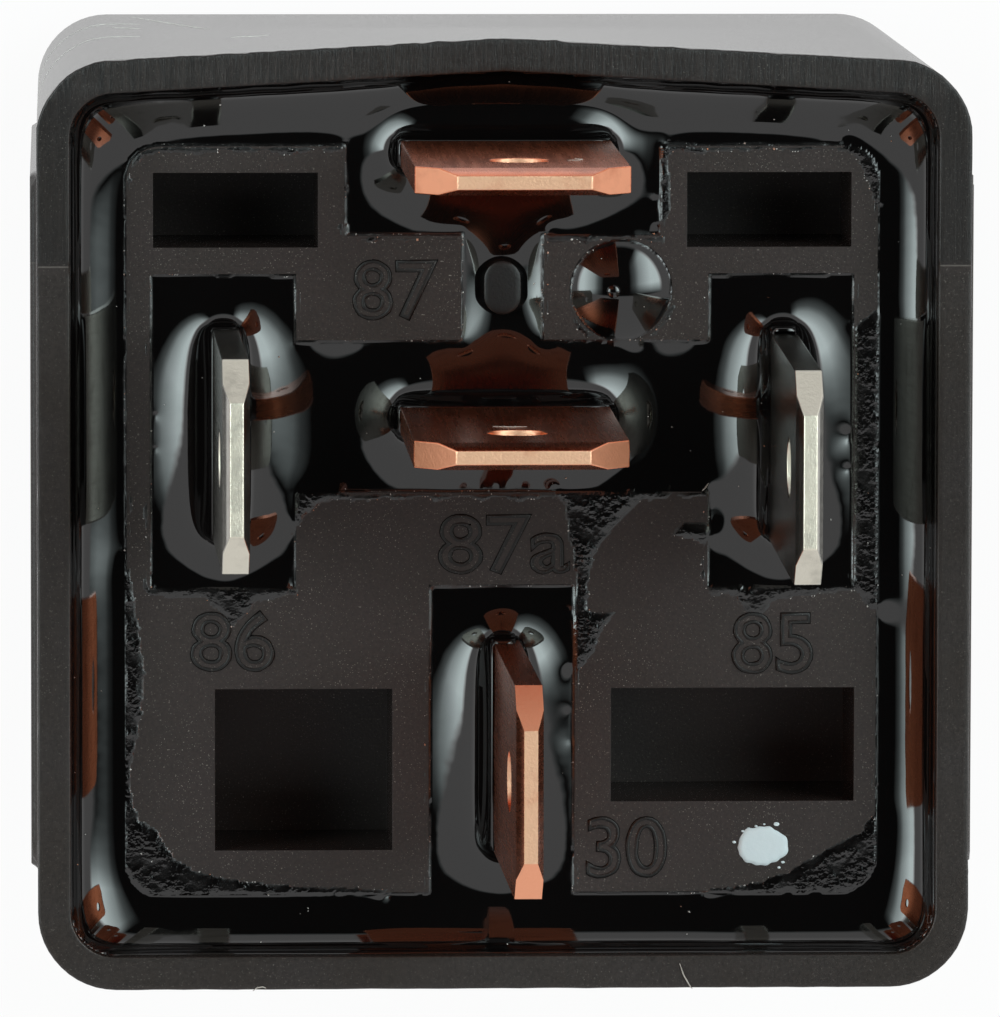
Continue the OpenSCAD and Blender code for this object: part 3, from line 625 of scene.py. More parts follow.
@dataclass
class Can:
    """The square can, as one closed shell."""

    half: float = 14.0
    wall: float = 1.0
    height: float = 25.5
    end: float = 1.2
    corner: float = 2.35
    draft: float = 0.16
    end_edge: float = 0.9
    end_inset: float = 1.6
    bow: float = 0.65
    panel_half: float = 10.5
    panel_low: float = 2.4
    panel_high: float = 23.9
    panel_rise: float = 0.2
    panel_corner: float = 0.5
    lip: float = 0.07
    skim_from: float = 7.82
    skim_step: float = 0.035

    @property
    def straight(self) -> float:
        """Half the length of the straight part of a side."""
        return self.half - self.corner

    def stations(self) -> list[tuple[int, float, float]]:
        """Spaces the columns of the shell, closer where its form changes.

        Returns:
            The side, the place along it, and the turn into the next corner, for each column.
        """
        near = [self.panel_half + d for d in (-0.9, -0.4, -0.12, -0.05, 0.0, 0.05, 0.12, 0.5)]
        near += [self.skim_from - 0.02, self.skim_from + 0.02]
        plain = sorted({*near, *(-n for n in near), *np.linspace(-9, 9, 37), self.straight, -self.straight})
        dense = np.linspace(-self.straight, self.straight, 261)
        columns = []
        for side in range(4):
            columns += [(side, float(s), 0.0) for s in (dense if side == 1 else plain)]
            columns += [(side, self.straight, a) for a in np.linspace(0, 90, 13)[1:-1]]
        return columns

    def ring(self, inset: float, z: float, outside: bool, ragged: float = 0.0) -> np.ndarray:
        """Returns one ring of points.

        Args:
            inset: Distance of the plan inwards from the rim's outline.
            z: Height.
            outside: Adds the panels.
            ragged: Size of the burrs on the contact side.

        Returns:
            Its points, three numbers each.
        """
        rise = self.swell(z)
        points = []
        for side, s, turn in self.stations():
            angle = math.radians(90 * side)
            out = self.half - inset
            if turn:
                swing = math.radians(turn)
                radius = self.corner - inset
                along, away = s + radius * math.sin(swing), self.straight + radius * math.cos(swing)
            else:
                along, away = s, out
                if side == 1:
                    away += rise * (1 - abs(s) / self.straight)
                elif outside:
                    gap = round_box(np.array(s), np.array(z),
                                    (0, (self.panel_low + self.panel_high) / 2),
                                    (self.panel_half, (self.panel_high - self.panel_low) / 2),
                                    self.panel_corner)
                    away += self.panel_rise * float(np.clip(0.5 - gap / 0.12, 0, 1))
            points.append((away * math.cos(angle) - along * math.sin(angle),
                           away * math.sin(angle) + along * math.cos(angle), z))
        ring = np.array(points)
        ring[:, 2] += np.where((ring[:, 1] > self.skim_from) & (z > self.height - 0.1), self.skim_step, 0.0)
        if ragged:
            burr = ripples(ring[:, 0], ring[:, 1], 0.5, 5)
            size = np.where(ring[:, 1] > self.straight, ragged, ragged * 0.35)
            outward = ring[:, :2].copy()
            outward /= np.linalg.norm(outward, axis=1)[:, None]
            ring[:, :2] += outward * (size * burr)[:, None]
        return ring

    def swell(self, z: float) -> float:
        """Returns how far the middle of the contact side stands out at a height."""
        return max(0.0, (z - self.height / 3) / (self.height * 2 / 3)) * self.bow

    def slope(self, z: float) -> float:
        """Returns how far the walls have drawn in at a height."""
        return self.draft * (1 - z / self.height)

    def side_y(self, x: float, z: float) -> float:
        """Returns the Y of the outer face of the contact side."""
        return self.half - self.slope(z) + self.swell(z) * (1 - abs(x) / self.straight)

    def rings(self) -> list[np.ndarray]:
        """Stacks the rings of the shell.

        Returns:
            The rings, from the closed end up, over the rim and down inside.
        """
        rings = [self.ring(self.end_inset + self.slope(0), 0.0, False)]
        for a in np.linspace(0, 90, 8):
            swing = math.radians(a)
            z = self.end_edge * (1 - math.cos(swing))
            rings.append(self.ring(self.slope(z) + self.end_edge * (1 - math.sin(swing)), z, False))
        levels = sorted({1.6, 2.1, 2.3, 2.36, 2.4, 2.44, 2.5, 2.7, 3.0, *np.linspace(3.5, 23.0, 14),
                         23.3, 23.6, 23.8, 23.86, 23.9, 23.94, 24.0, 24.4, 24.9, 25.2})
        rings += [self.ring(self.slope(z), float(z), True) for z in levels]
        for a in (0, 30, 60, 90):
            swing = math.radians(a)
            rings.append(self.ring(self.lip * (1 - math.cos(swing)),
                                   self.height - self.lip * (1 - math.sin(swing)), False, 0.035))
        rings += [self.ring(i, self.height, False) for i in (0.2, 0.4, 0.6, 0.8)]
        for a in (90, 60, 30, 0):
            swing = math.radians(a)
            rings.append(self.ring(self.wall - self.lip * (1 - math.cos(swing)),
                                   self.height - self.lip * (1 - math.sin(swing)), False))
        rings += [self.ring(self.wall, z, False) for z in (25.0, 24.0, 22.0, 17.0, 10.0, 5.0, self.end)]
        return rings

    def build(self) -> bpy.types.Object:
        """Makes the shell, which stands for the cover.

        Returns:
            The shell.
        """
        rings = self.rings()
        count = len(rings[0])
        points = np.concatenate(rings)
        faces = tube_faces(len(rings) - 1, count)
        faces.append(list(reversed(range(count))))
        faces.append([(len(rings) - 1) * count + c for c in range(count)])
        can = add_piece("can_shell", points, faces, Stuff.CAN)
        can.modifiers.new("even_faces", "WEIGHTED_NORMAL")
        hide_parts("cover")
        return can


# ---------------------------------------------------------------- the base and its marks

@dataclass
class Blade:
    """One blade terminal: where it stands, which way it runs, and how it leans."""

    node: str
    at: tuple[float, float]
    along_y: bool
    stuff: Stuff
    slot: str
    well: tuple[float, float]
    lean: tuple[float, float] = (0.0, 0.0)
    half_width: float = 3.15
    half_thickness: float = 0.4
    edge: float = 0.045
    hinge_z: float = 24.0

    def half(self) -> tuple[float, float]:
        """Returns the half sizes of its section along X and Y."""
        sizes = (self.half_width, self.half_thickness)
        return sizes[::-1] if self.along_y else sizes

    def build(self) -> bpy.types.Object:
        """Makes the blade with broken edges."""
        return machined_copy(self.node, self.stuff, self.edge, self.lean, self.hinge_z)


BLADES = (
    Blade("terminal_85", (8.4, 2.7), True, Stuff.TIN, "tin", (2.2, 4.75), (0.002, -0.024)),
    Blade("terminal_86", (-8.4, 2.7), True, Stuff.TIN, "tin", (2.2, 4.75), (0.012, 0.008)),
    Blade("terminal_30", (0.0, -6.7), True, Stuff.COPPER, "copper", (2.2, 4.75), (0.025, -0.007)),
    Blade("terminal_87", (0.0, 11.15), False, Stuff.COPPER, "copper", (4.75, 2.55), (0.008, 0.0)),
    Blade("terminal_87a", (0.0, 3.15), False, Stuff.COPPER, "copper", (8.4, 2.3), (0.006, 0.0)),
)


@dataclass
class Label:
    """The number of a terminal, raised on the face, with a thin near-black line at its foot that is painted
    shadow.
    """

    words: str
    low: tuple[float, float]
    high: tuple[float, float]
    face_z: float = FACE_Z
    rise: float = 0.035
    line: float = 0.07
    waver: float = 0.022
    waver_pitch: float = 0.22

    def glyphs(self, outline: bool, scale: float) -> tuple[np.ndarray, list]:
        """Draws the letters.

        Args:
            outline: Draws the line of painted shadow round them, in place of raised bodies.
            scale: How much they are enlarged afterwards.

        Returns:
            Their points and faces.
        """
        curve = bpy.data.curves.new("letters", "FONT")
        curve.body = self.words
        curve.resolution_u = 6
        if outline:
            curve.fill_mode = "NONE"
            curve.bevel_depth = self.line / scale
            curve.bevel_resolution = 1
        else:
            curve.extrude = self.rise / scale
        holder = bpy.data.objects.new("letters", curve)
        bpy.context.scene.collection.objects.link(holder)
        bpy.context.view_layer.update()
        mesh = holder.evaluated_get(bpy.context.evaluated_depsgraph_get()).to_mesh()
        points = np.array([v.co[:] for v in mesh.vertices])
        faces = [list(p.vertices) for p in mesh.polygons]
        holder.to_mesh_clear()
        bpy.data.objects.remove(holder)
        bpy.data.curves.remove(curve)
        return points, faces

    def build(self) -> None:
        """Makes the letters and the line of painted shadow round them."""
        flat, _ = self.glyphs(False, 1.0)
        low, high = flat[:, :2].min(0), flat[:, :2].max(0)
        size = (np.array(self.high) - self.low) / (high - low)
        scale = float(size.mean())
        # the line round each number is painted shadow at the foot of its letters
        for kind, outline, stuff in (("body", False, Stuff.BASE), ("line", True, Stuff.PAINTED_LETTER_SHADOW)):
            points, faces = self.glyphs(outline, scale)
            points[:, :2] = (points[:, :2] - low) * size + self.low
            points[:, 2] = points[:, 2] * scale + self.face_z
            points[:, 0] += self.waver * ripples(points[:, 0], points[:, 1], self.waver_pitch, 12)
            points[:, 1] += self.waver * ripples(points[:, 0], points[:, 1], self.waver_pitch, 13)
            add_piece(f"number_{self.words}_{kind}", points, faces, stuff)


@dataclass
class PaintDot:
    """A daub of white paint with a torn edge and a few small drops beside it."""

    centre: tuple[float, float] = (7.9, -9.92)
    half: tuple[float, float] = (0.78, 0.6)
    face_z: float = FACE_Z
    thick: float = 0.05

    # places of the drops, counted from the middle of the daub, and their radii
    drops: tuple[tuple[float, float, float], ...] = (
        (-0.86, 0.12, 0.06), (-0.6, 0.45, 0.05), (-0.42, 0.52, 0.06), (-0.2, 0.6, 0.05),
        (0.05, 0.66, 0.04), (0.42, 0.66, 0.09), (0.62, -0.5, 0.06), (0.5, -0.66, 0.05),
    )

    def dome(self, draw: np.random.Generator, at: tuple[float, float], half: tuple[float, float],
             thick: float, torn: float, sides: int) -> tuple[list, list]:
        """Makes a low dome with a torn edge.

        Args:
            draw: The source of its random tears.
            at: Its middle.
            half: Its half sizes.
            thick: Its height.
            torn: The size of the tears, as a share of its own.
            sides: The number of points round it.

        Returns:
            Its points and its faces.
        """
        around = np.linspace(0, 2 * np.pi, sides, False)
        wave = sum(draw.normal(0, 1) * np.cos(k * around + draw.uniform(0, 6.3)) / k ** 0.8
                   for k in range(2, 17))
        reach = 1 + torn * wave
        turns = [2 * math.pi * k / sides for k in range(sides)]
        points = [(at[0] + half[0] * share * reach[k] * math.cos(a),
                   at[1] + half[1] * share * reach[k] * math.sin(a), self.face_z + thick * level)
                  for share, level in ((1.0, -0.3), (0.97, 0.6), (0.8, 0.9), (0.4, 1.0))
                  for k, a in enumerate(turns)]
        faces = tube_faces(3, sides)
        faces.append([3 * sides + k for k in range(sides)])
        faces.append(list(reversed(range(sides))))
        return points, faces

    def build(self) -> bpy.types.Object:
        """Makes the daub and its drops as low domes.

        Returns:
            The daub.
        """
        draw = np.random.default_rng(11)
        domes = [self.dome(draw, self.centre, self.half, self.thick, 0.06, 96)]
        for dx, dy, radius in self.drops:
            domes.append(self.dome(draw, (self.centre[0] + dx, self.centre[1] + dy),
                                   (radius, radius * 0.7), self.thick * 0.6, 0.05, 12))
        points, faces = [], []
        for some_points, some_faces in domes:
            start = len(points)
            points += some_points
            faces += [[start + corner for corner in face] for face in some_faces]
        return add_piece("paint_dot", np.array(points), faces, Stuff.PAINT)


@dataclass
class BasePlate:
    """The base moulding with the numbers of its terminals."""

    edge: float = 0.06
    labels: tuple[Label, ...] = (
        Label("87", (-4.45, 6.12), (-2.05, 7.82)),
        Label("87a", (-1.86, -1.57), (1.98, 0.14)),
        Label("86", (-9.33, -4.51), (-6.92, -2.8)),
        Label("85", (7.0, -4.63), (9.34, -2.86)),
        Label("30", (2.63, -10.82), (4.94, -9.07)),
    )

    def build(self) -> None:
        """Makes the plate, its numbers and the paint dot."""
        machined_copy("base", Stuff.BASE, self.edge)
        for label in self.labels:
            label.build()
        PaintDot().build()


# ---------------------------------------------------------------- the sealing resin

@dataclass
class SealingResin:
    """The resin in the moat and the wells, whose skin climbs the can and the blades by capillarity."""

    step: float = 0.08
    columns: int = 328
    rows: int = 336
    capillary: float = 1.6
    face_z: float = FACE_Z
    sunk: float = 0.6
    wall_z: float = 25.15
    blade_z: float = 25.4
    floor_z: float = 21.45
    hole: tuple[float, float, float] = (3.57, 6.95, 1.55)
    drop_radius: float = 2.4
    post: tuple[float, float, float, float] = (0.0, 7.025, 0.56, 0.25)
    moat_capillary: float = 1.25
    moat_sunk: float = 0.75
    channel_sunk: float = 1.15
    land: tuple[float, float] = (11.3, 11.3)
    land_corner: float = 1.0
    bore_half: float = 13.0
    bore_straight: float = 11.65
    bore_corner: float = 1.35
    bore_bow: float = 0.63
    brink: float = 0.1
    film_slope: float = 0.12
    film_thick: float = 0.035
    # X, Y, height and crust of the wet points, once the skin is solved
    skin: tuple[np.ndarray, ...] = ()
    # outlines of the film that the resin has left on the face
    films: tuple[tuple[tuple[float, float], ...], ...] = (
        ((-12.5, -0.9), (-11.3, -0.9), (-11.05, -2.3), (-10.85, -3.5), (-10.7, -4.5), (-10.7, -5.0),
         (-10.85, -5.9), (-11.05, -6.9), (-11.15, -7.6), (-11.1, -8.4), (-10.9, -9.0), (-10.3, -9.4),
         (-9.9, -10.1), (-9.3, -10.6), (-8.6, -10.8), (-7.7, -10.87), (-6.3, -11.05), (-4.7, -11.1),
         (-3.4, -11.15), (-3.4, -12.5), (-12.5, -12.5)),
        ((12.5, -8.6), (11.3, -8.7), (10.9, -9.4), (10.2, -9.8), (9.3, -10.3), (8.6, -10.7), (7.6, -11.05),
         (6.0, -11.2), (6.0, -12.5), (12.5, -12.5)),
        ((10.1, 12.5), (10.1, 11.3), (10.7, 10.8), (11.0, 10.1), (11.2, 9.4), (11.25, 6.4), (10.9, 6.1),
         (10.5, 5.9), (10.5, -2.1), (10.9, -2.5), (11.3, -2.9), (12.5, -2.9), (12.5, 12.5)),
        ((1.3, 1.5), (1.4, 0.9), (1.85, 0.4), (1.95, -0.4), (2.15, -1.2), (2.2, -1.9), (2.0, -2.4),
         (2.0, -4.6), (2.35, -4.6), (2.45, -4.4), (2.9, -3.8), (3.4, -2.8), (2.65, -2.7), (2.6, -1.8),
         (2.8, -1.1), (3.2, -0.5), (3.7, 0.1), (4.2, 0.6), (5.0, 0.75), (6.0, 0.73), (6.25, 0.3), (6.4, 1.5)),
        ((6.4, 0.3), (6.2, -0.05), (5.4, -0.1), (5.15, -0.45), (5.5, -0.6), (6.0, -0.7), (6.4, -0.8)),
        ((6.1, -1.7), (6.2, -2.25), (7.0, -2.4), (7.4, -2.9), (7.9, -2.95), (8.2, -2.5), (9.5, -2.3),
         (10.8, -2.2), (10.8, -1.7)),
        ((-6.5, 1.2), (-6.5, -0.5), (-6.1, -0.3), (-5.9, 0.1), (-5.4, 0.5), (-4.7, 0.77), (-4.0, 0.85),
         (-4.0, 1.2)),
        ((-10.7, -1.8), (-10.5, -2.2), (-10.0, -2.3), (-9.0, -2.38), (-8.6, -2.8), (-8.1, -3.3),
         (-7.8, -3.0), (-7.4, -2.5), (-6.4, -2.3), (-6.1, -1.8)),
        ((4.6, 11.6), (5.05, 11.3), (5.1, 9.3), (4.9, 8.9), (4.4, 8.6), (3.9, 8.45), (2.6, 8.45),
         (1.3, 8.5), (1.3, 8.9), (4.6, 8.9)),
    )

    def plan(self) -> tuple[np.ndarray, np.ndarray]:
        """Lays out the finest grid.

        Returns:
            The X and the Y of each of its points.
        """
        x = (np.arange(self.columns + 1) - self.columns / 2) * self.step
        y = np.arange(self.rows + 1) * self.step - 13.12
        return np.meshgrid(x, y, indexing="ij")

    def face(self, x: np.ndarray, y: np.ndarray) -> np.ndarray:
        """Measures from the dry face.

        Args:
            x: The X of each point.
            y: Its Y.

        Returns:
            The distance of each point outside the dry face, less than zero on it.
        """
        ragged = 0.05 * ripples(x, y, 0.7, 2)
        land = round_box(x, y, (0, 0), self.land, self.land_corner)
        wells = np.full_like(x, 1e3)
        for blade in BLADES:
            wells = np.minimum(wells, round_box(x, y, blade.at, blade.well, 0.12))
        wells = np.minimum(wells, round_box(x, y, (0, -10.3), (2.2, 4.0), 0.1))
        wells = np.minimum(wells, round_box(x, y, (0, 5.9), (1.25, 3.4), 0.1))
        wells = np.minimum(wells, np.hypot(x - self.hole[0], y - self.hole[1]) - self.hole[2])
        land = np.maximum(land, -wells)
        return land + ragged * (land > -0.3)

    def film(self, x: np.ndarray, y: np.ndarray) -> tuple[np.ndarray, np.ndarray]:
        """Finds the film on the face.

        Args:
            x: The X of each point.
            y: Its Y.

        Returns:
            How far each point is inside the film, which also laps the edges of the dry face, and whether
            the film is broad there and runs over the edge without a step, from 0 to 1.
        """
        spilt = np.full_like(x, -1e3)
        for outline in self.films:
            spilt = np.maximum(spilt, inside_shape(x, y, outline))
        lap = self.face(x, y + 0.14) + 0.08 + 0.14 * ripples(x, y, 0.6, 8)
        frayed = 0.05 * ripples(x, y, 0.8, 3) + 0.06 * ripples(x, y, 0.3, 4)
        return np.maximum(spilt, lap) + frayed, np.clip(spilt / 0.2, 0, 1)

    def bore(self, x: np.ndarray, y: np.ndarray) -> np.ndarray:
        """Measures from the can's bore, which bows out on the contact side.

        Args:
            x: The X of each point.
            y: Its Y.

        Returns:
            The distance of each point outside the bore, less than zero in it.
        """
        half, straight, corner = self.bore_half, self.bore_straight, self.bore_corner
        bowed = half + self.bore_bow * np.clip(1 - np.abs(x) / straight, 0, 1)
        gap = round_box(x, y, (0, 0), (half, half), corner)
        gap = np.where(y > 10, np.maximum(np.abs(x) - half, y - bowed), gap)
        turning = (np.abs(x) > straight) & (y > straight)
        return np.where(turning, np.hypot(np.abs(x) - straight, y - straight) - corner, gap)

    def solve(self) -> tuple[np.ndarray, ...]:
        """Finds the height of the skin.

        Returns:
            The grid's X and Y, the heights, the points that are wet, and the amounts of film and of crust.
        """
        x, y = self.plan()
        bore = self.bore(x, y)
        face = self.face(x, y)
        film, flush = self.film(x, y)
        thick = np.clip(film * self.film_slope, -0.05, self.film_thick) * (1 + 0.2 * ripples(x, y, 0.5, 6))
        thick -= 0.05 * (1 - flush) * np.clip(1 + face / 0.12, 0, 1) ** 2
        metal = np.full_like(x, 1e3)
        for blade in BLADES:
            metal = np.minimum(metal, round_box(x, y, blade.at, blade.half(), 0.02))
        held = (bore > 0) | (face < 0) | (metal < 0)
        fixed = np.where(face < 0, self.face_z + np.where(film > 0, thick, -0.04), 0.0)
        fixed = np.where(bore > 0, self.wall_z + 0.12 * ripples(x, y, 3.0, 7), fixed)
        fixed = np.where(metal < 0, self.blade_z, fixed)
        hx, hy, hr = self.hole
        away = np.hypot(x - hx, y - hy)
        drop = away < hr + self.step
        cap = np.sqrt(self.drop_radius ** 2 - np.minimum(away, hr) ** 2) \
            - math.sqrt(self.drop_radius ** 2 - hr ** 2)
        fixed = np.where(drop & (face >= 0), self.face_z - 0.03 + cap, fixed)
        held |= drop
        brink = (face >= 0) & (face < self.brink) & ~held
        fixed = np.where(brink, self.face_z - 0.09 + 0.1 * flush, fixed)
        moat = np.clip(round_box(x, y, (0, 0), self.land, self.land_corner) / 0.3, 0, 1)
        rest = self.face_z - self.sunk - (self.moat_sunk - self.sunk) * moat
        channel = np.clip(-round_box(x, y, (0, 7.0), (1.45, 1.8), 0.2) / 0.3, 0, 1)
        rest = rest - self.channel_sunk * channel
        reach = self.capillary + (self.moat_capillary - self.capillary) * moat
        height = self.relax(fixed, held | brink, rest, reach)
        wet = ~held | (drop & (face >= 0)) | ((face < 0) & (thick > 0) & (bore <= 0))
        laid = np.where((face < 0) & (film > 0), 1.0, 0.0)
        crust = np.clip(1 - np.abs(film - 0.03) / 0.07, 0, 1) * (face < 0)
        crust = np.maximum(crust, 0.8 * (1 - flush) * np.clip(1.5 - np.abs(face + 0.02) / 0.1, 0, 1))
        return x, y, height, wet, laid, crust

    def relax(self, fixed: np.ndarray, held: np.ndarray, rest: np.ndarray, reach: np.ndarray) -> np.ndarray:
        """Lets the skin settle from a coarse grid to the finest one.

        Args:
            fixed: The height of each point that is held.
            held: Whether a point is held.
            rest: The height at which the resin pulls neither way.
            reach: The capillary length.

        Returns:
            The height of each point.
        """
        height = None
        for skip, sweeps in ((8, 200), (4, 160), (2, 160), (1, 140)):
            hold, pins = held[::skip, ::skip], fixed[::skip, ::skip]
            level = rest[::skip, ::skip]
            if height is None:
                height = np.where(hold, pins, level)
            else:
                fine = np.zeros(hold.shape)
                fine[::2, ::2] = height
                fine[1::2, ::2] = (fine[:-1:2, ::2] + fine[2::2, ::2]) / 2
                fine[:, 1::2] = (fine[:, :-1:2] + fine[:, 2::2]) / 2
                height = np.where(hold, pins, fine)
            size = self.step * skip
            pull = (size / reach[::skip, ::skip]) ** 2
            i, j = np.indices(hold.shape)
            free = ~hold
            free[0], free[-1], free[:, 0], free[:, -1] = False, False, False, False
            teams = [free & ((i + j) % 2 == k) for k in (0, 1)]
            for sweep in range(sweeps):
                if sweep % 4 == 0:
                    dx, dy = np.gradient(height, size)
                    run_x = (height[1:] - height[:-1]) / size
                    run_y = (height[:, 1:] - height[:, :-1]) / size
                    soft_x = 1 / np.sqrt(1 + run_x ** 2 + ((dy[1:] + dy[:-1]) / 2) ** 2)
                    soft_y = 1 / np.sqrt(1 + run_y ** 2 + ((dx[:, 1:] + dx[:, :-1]) / 2) ** 2)
                    weight = pull.copy()
                    weight[1:] += soft_x
                    weight[:-1] += soft_x
                    weight[:, 1:] += soft_y
                    weight[:, :-1] += soft_y
                for team in teams:
                    total = pull * level
                    total[1:] += soft_x * height[:-1]
                    total[:-1] += soft_x * height[1:]
                    total[:, 1:] += soft_y * height[:, :-1]
                    total[:, :-1] += soft_y * height[:, 1:]
                    height = np.where(team, height + 1.5 * (total / weight - height), height)
        return height

    def strips(self, kept: np.ndarray, outline: np.ndarray) -> list[list[tuple[int, int]]]:
        """Covers the flat underside with strips that meet only in points of its outline.

        Args:
            kept: Whether each cell of the grid is covered.
            outline: Whether each point of the grid lies on the outline.

        Returns:
            The grid points round each strip.
        """
        made = []
        for i, column in enumerate(kept):
            ends = np.flatnonzero(np.diff(np.concatenate([[0], column.astype(int), [0]])))
            for first, last in ends.reshape(-1, 2).tolist():
                near = [(i, j) for j in range(first, last + 1) if outline[i, j]]
                far = [(i + 1, j) for j in range(first, last + 1) if outline[i + 1, j]]
                made.append(near + far[::-1])
        return made

    def body(self, x: np.ndarray, y: np.ndarray, height: np.ndarray, wet: np.ndarray,
             shades: dict[str, np.ndarray]) -> bpy.types.Mesh:
        """Closes the skin to a body with upright sides and a flat underside.

        Args:
            x: The X of each grid point.
            y: Its Y.
            height: Its height on the skin.
            wet: Whether resin lies there.
            shades: The amounts that the finish reads, by name.

        Returns:
            The mesh.
        """
        kept = wet[:-1, :-1] | wet[1:, :-1] | wet[:-1, 1:] | wet[1:, 1:]
        around = np.zeros(wet.shape, int)
        for di in (0, 1):
            for dj in (0, 1):
                around[di:around.shape[0] - 1 + di, dj:around.shape[1] - 1 + dj] += kept
        used, outline = around > 0, (around > 0) & (around < 4)
        number = np.full(wet.shape, -1)
        number[used] = np.arange(used.sum())
        i, j = np.nonzero(kept)
        quads = np.stack([number[i, j], number[i + 1, j], number[i + 1, j + 1], number[i, j + 1]], 1)
        top = np.stack([x[used], y[used], height[used]], 1)
        form = bmesh.new()
        keys = form.verts.layers.int.new("number")
        layers = [form.verts.layers.float.new(name) for name in shades]
        low = {k: form.verts.new((top[k, 0] * MM, top[k, 1] * MM, self.floor_z * MM))
               for k in number[outline].tolist()}
        for strip in self.strips(kept, outline):
            form.faces.new([low[number[spot]] for spot in strip])
        for k, vert in low.items():
            vert[keys] = k
        upper = [form.verts.new((a * MM, b * MM, c * MM)) for a, b, c in top]
        rim = [e for e in form.edges if e.is_boundary]
        for edge in rim:
            loop = edge.link_loops[0]
            a, b = loop.vert, loop.link_loop_next.vert
            form.faces.new([b, a, upper[a[keys]], upper[b[keys]]])
        for quad in quads.tolist():
            form.faces.new([upper[k] for k in quad])
        for layer, amounts in zip(layers, shades.values()):
            for vert, amount in zip(upper, amounts[used].tolist()):
                vert[layer] = amount
        mesh = bpy.data.meshes.new("resin_seal")
        form.to_mesh(mesh)
        form.free()
        return mesh

    def build(self) -> bpy.types.Object:
        """Makes the resin as a closed body with its skin on top, which stands for the potting.

        Returns:
            The body.
        """
        x, y, height, wet, laid, crust = self.solve()
        mesh = self.body(x, y, height, wet, {"film": laid, "crust": crust})
        piece = put_up(mesh, Stuff.RESIN)
        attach(piece, HOUSING)
        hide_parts("potting")
        log.info("resin_seal: %d faces", len(mesh.polygons))
        self.skin = (x[wet], y[wet], height[wet], crust[wet])
        self.bubble(x=self.hole[0] - 0.25, y=self.hole[1])
        self.post_cap()
        return piece

    def post_cap(self) -> bpy.types.Object:
        """Makes the dull skin that the resin has left on the post between the two contact wells.

        Returns:
            The skin.
        """
        x, y, radius, straight = self.post
        sides, levels = 64, ((0.0, -1.2), (0.0, -0.03), (0.02, 0.0), (0.06, 0.02), (0.2, 0.03))
        turn = np.linspace(0, 2 * np.pi, sides, False)
        points = []
        for inset, level in levels:
            points += [(x + (radius - inset) * math.cos(a),
                        y + (radius - inset) * math.sin(a) + math.copysign(straight, math.sin(a)),
                        self.face_z + level) for a in turn]
        rows = len(levels) - 1
        faces = tube_faces(rows, sides)
        faces += [[rows * sides + k for k in range(sides)], list(reversed(range(sides)))]
        return add_piece("post_skin", np.array(points), faces, Stuff.SKIN)

    def bubble(self, x: float, y: float) -> bpy.types.Object:
        """Makes the bubble that has set in the top of the drop.

        Args:
            x: The X of its middle.
            y: Its Y.

        Returns:
            The bubble.
        """
        radius, rows, sides, points = 0.21, 8, 24, []
        away = math.hypot(x - self.hole[0], y - self.hole[1])
        foot = self.face_z - 0.05 + math.sqrt(self.drop_radius ** 2 - away ** 2) \
            - math.sqrt(self.drop_radius ** 2 - self.hole[2] ** 2)
        for a in np.radians(np.linspace(-20, 80, rows + 1)):
            points += [(x + radius * math.cos(a) * math.cos(b), y + radius * math.cos(a) * math.sin(b),
                        foot + 0.5 * radius * math.sin(a)) for b in np.linspace(0, 2 * np.pi, sides, False)]
        faces = tube_faces(rows, sides)
        faces += [[rows * sides + k for k in range(sides)], list(reversed(range(sides)))]
        return add_piece("resin_bubble", np.array(points), faces, Stuff.RESIN)


# ---------------------------------------------------------------- dust and scrapes

# the faces of a grain, whose points lie in pairs on its three axes
OCTAHEDRON = ((0, 2, 4), (2, 1, 4), (1, 3, 4), (3, 0, 4), (2, 0, 5), (1, 2, 5), (3, 1, 5), (0, 3, 5))


